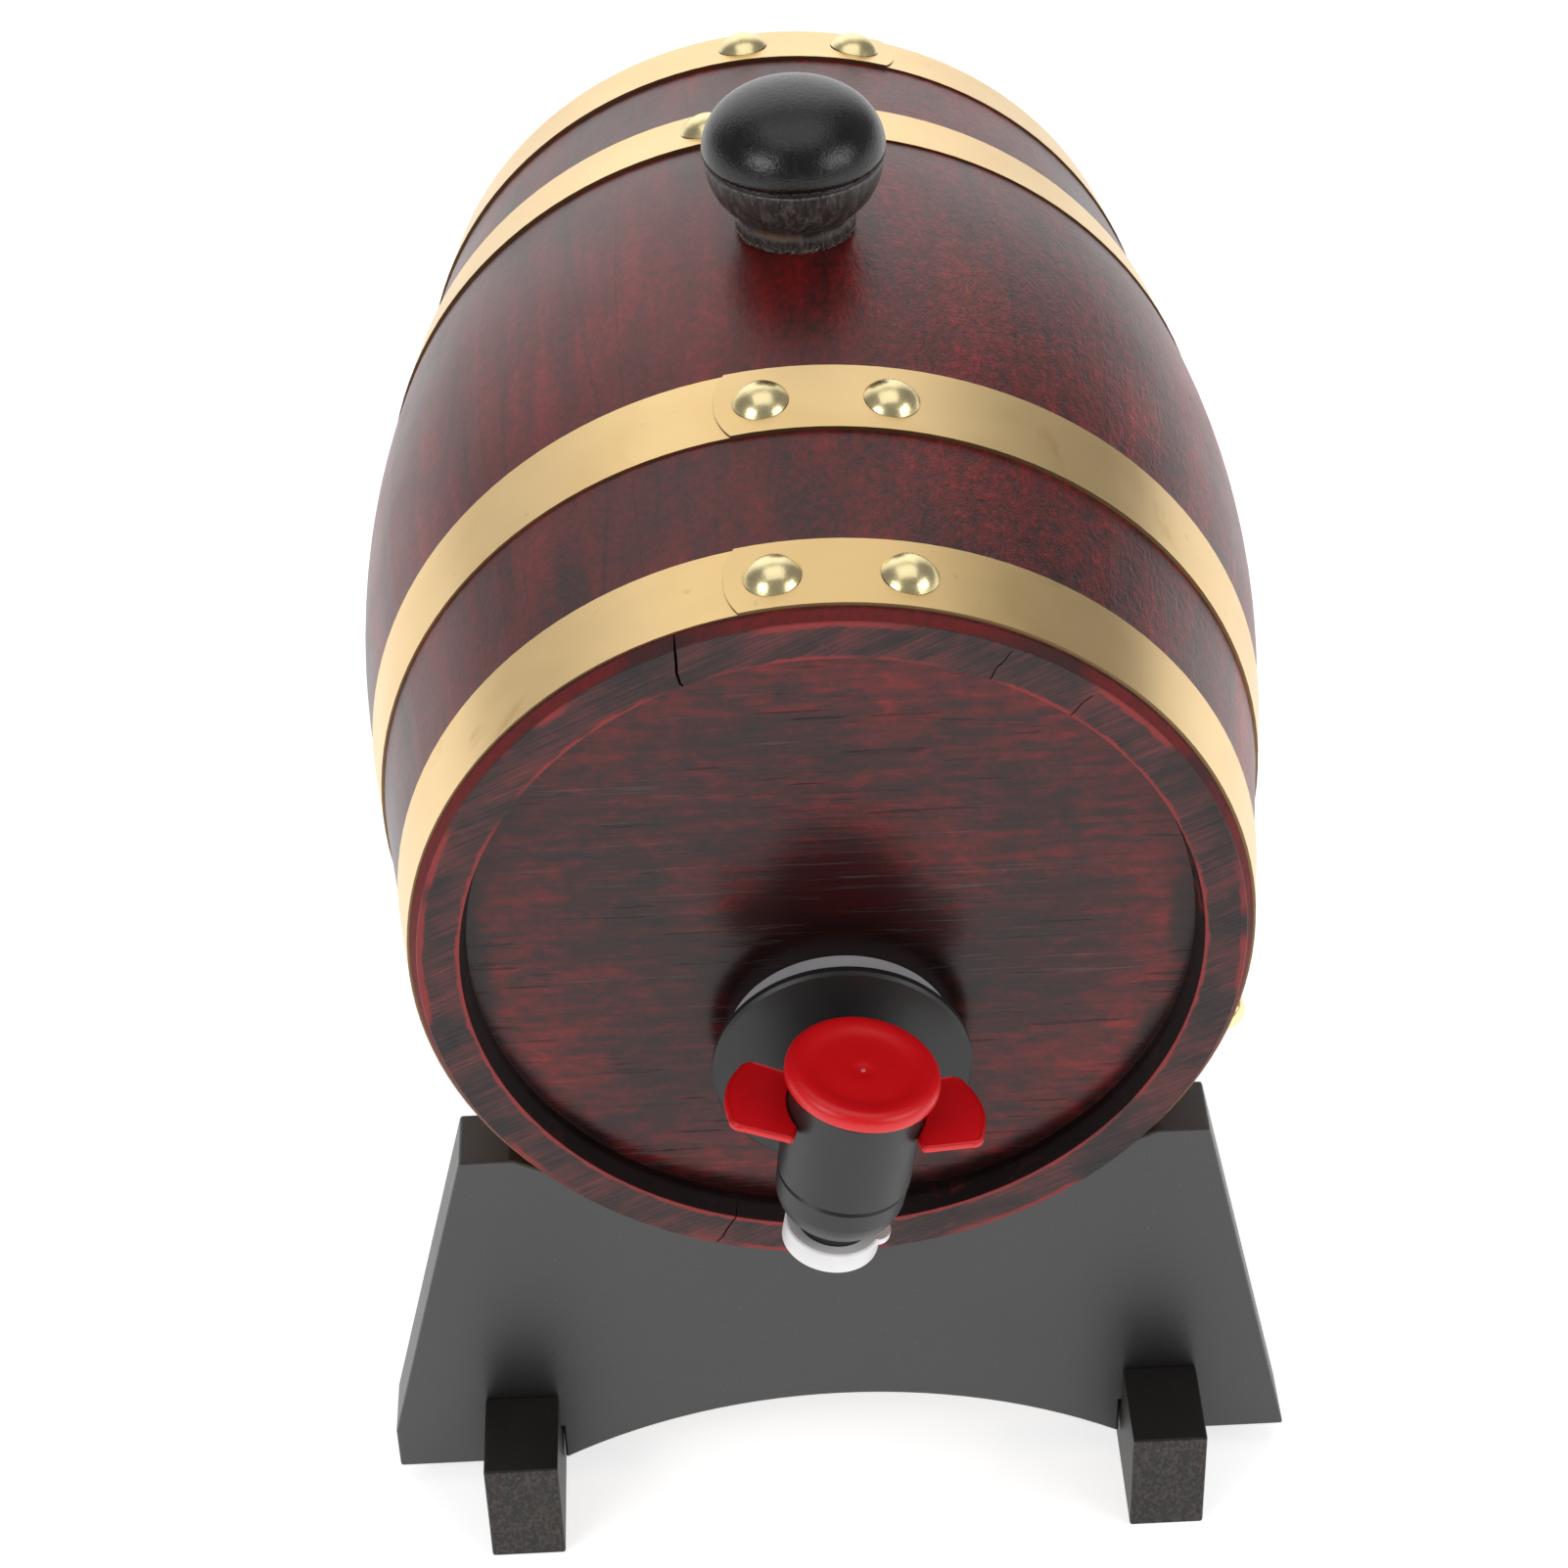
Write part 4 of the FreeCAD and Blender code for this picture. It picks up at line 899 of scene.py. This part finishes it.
def crack_wedge(angle, wander, width, finish):
    """A zigzag wedge that stands in the front end of the staves, widest at its middle."""
    turn = Matrix.Rotation(math.radians(angle), 4, "Y")
    place = Matrix.Translation(Vector((BARREL.x, BARREL_LOW.y, BARREL.z))) @ turn @ Matrix.Scale(MM, 4)
    shape = bmesh.new()
    sections = []
    for step, shift in enumerate(wander):
        share = step / (len(wander) - 1)
        radius = CRACK_START + (finish - CRACK_START) * share
        half = width / 2 * (0.55 + 0.9 * math.sin(math.pi * (0.15 + 0.7 * share)))
        corners = [(shift - half, -1, radius), (shift + half, -1, radius), (shift, CRACK_DEEP, radius)]
        sections.append([shape.verts.new(place @ Vector(corner)) for corner in corners])
    for lower, upper in zip(sections, sections[1:]):
        for corner in range(3):
            after = (corner + 1) % 3
            shape.faces.new((lower[corner], lower[after], upper[after], upper[corner]))
    shape.faces.new(reversed(sections[0]))
    shape.faces.new(sections[-1])
    bmesh.ops.recalc_face_normals(shape, faces=shape.faces)
    return shape


def hidden_cutter(name, shape):
    """An object that only cuts others, and is neither rendered nor shown."""
    mesh = bpy.data.meshes.new(name)
    shape.to_mesh(mesh)
    shape.free()
    cutter = bpy.data.objects.new(name, mesh)
    bpy.context.scene.collection.objects.link(cutter)
    cutter.hide_render = True
    cutter.hide_viewport = True
    return cutter


def crack_ends():
    """Cuts the cracks, then splits the cut staves' normals at their sharp edges."""
    cracked = {}
    for name, (node, angle, wander, width, finish) in CRACKS.items():
        piece = frame["nodes"][node]
        if node not in cracked:
            piece.modifiers.new("weld", "WELD").merge_threshold = 0.001 * MM
            cracked[node] = piece
        cut = piece.modifiers.new(name, "BOOLEAN")
        cut.operation = "DIFFERENCE"
        cut.object = hidden_cutter(name, crack_wedge(angle, wander, width, finish))
        cut.solver = "EXACT"
    for piece in cracked.values():
        piece.modifiers.new("sharp", "EDGE_SPLIT").split_angle = math.radians(20)


def refine_shapes(finish):
    """Adds the shapes that the CAD solids leave plain. finish holds the materials by slot."""
    crack_ends()
    make_stopper(finish["stopper_black"])
    make_button(finish["tap_red"])
    make_wings(finish["tap_red"])
    make_nails(finish["rivet_brass"])
    for node in BOARDS + RAILS:
        soften(node, 0.45 * MM)
    soften("dust_cap", 0.35 * MM, 3)


add_studio()
refine_shapes(paint_all())
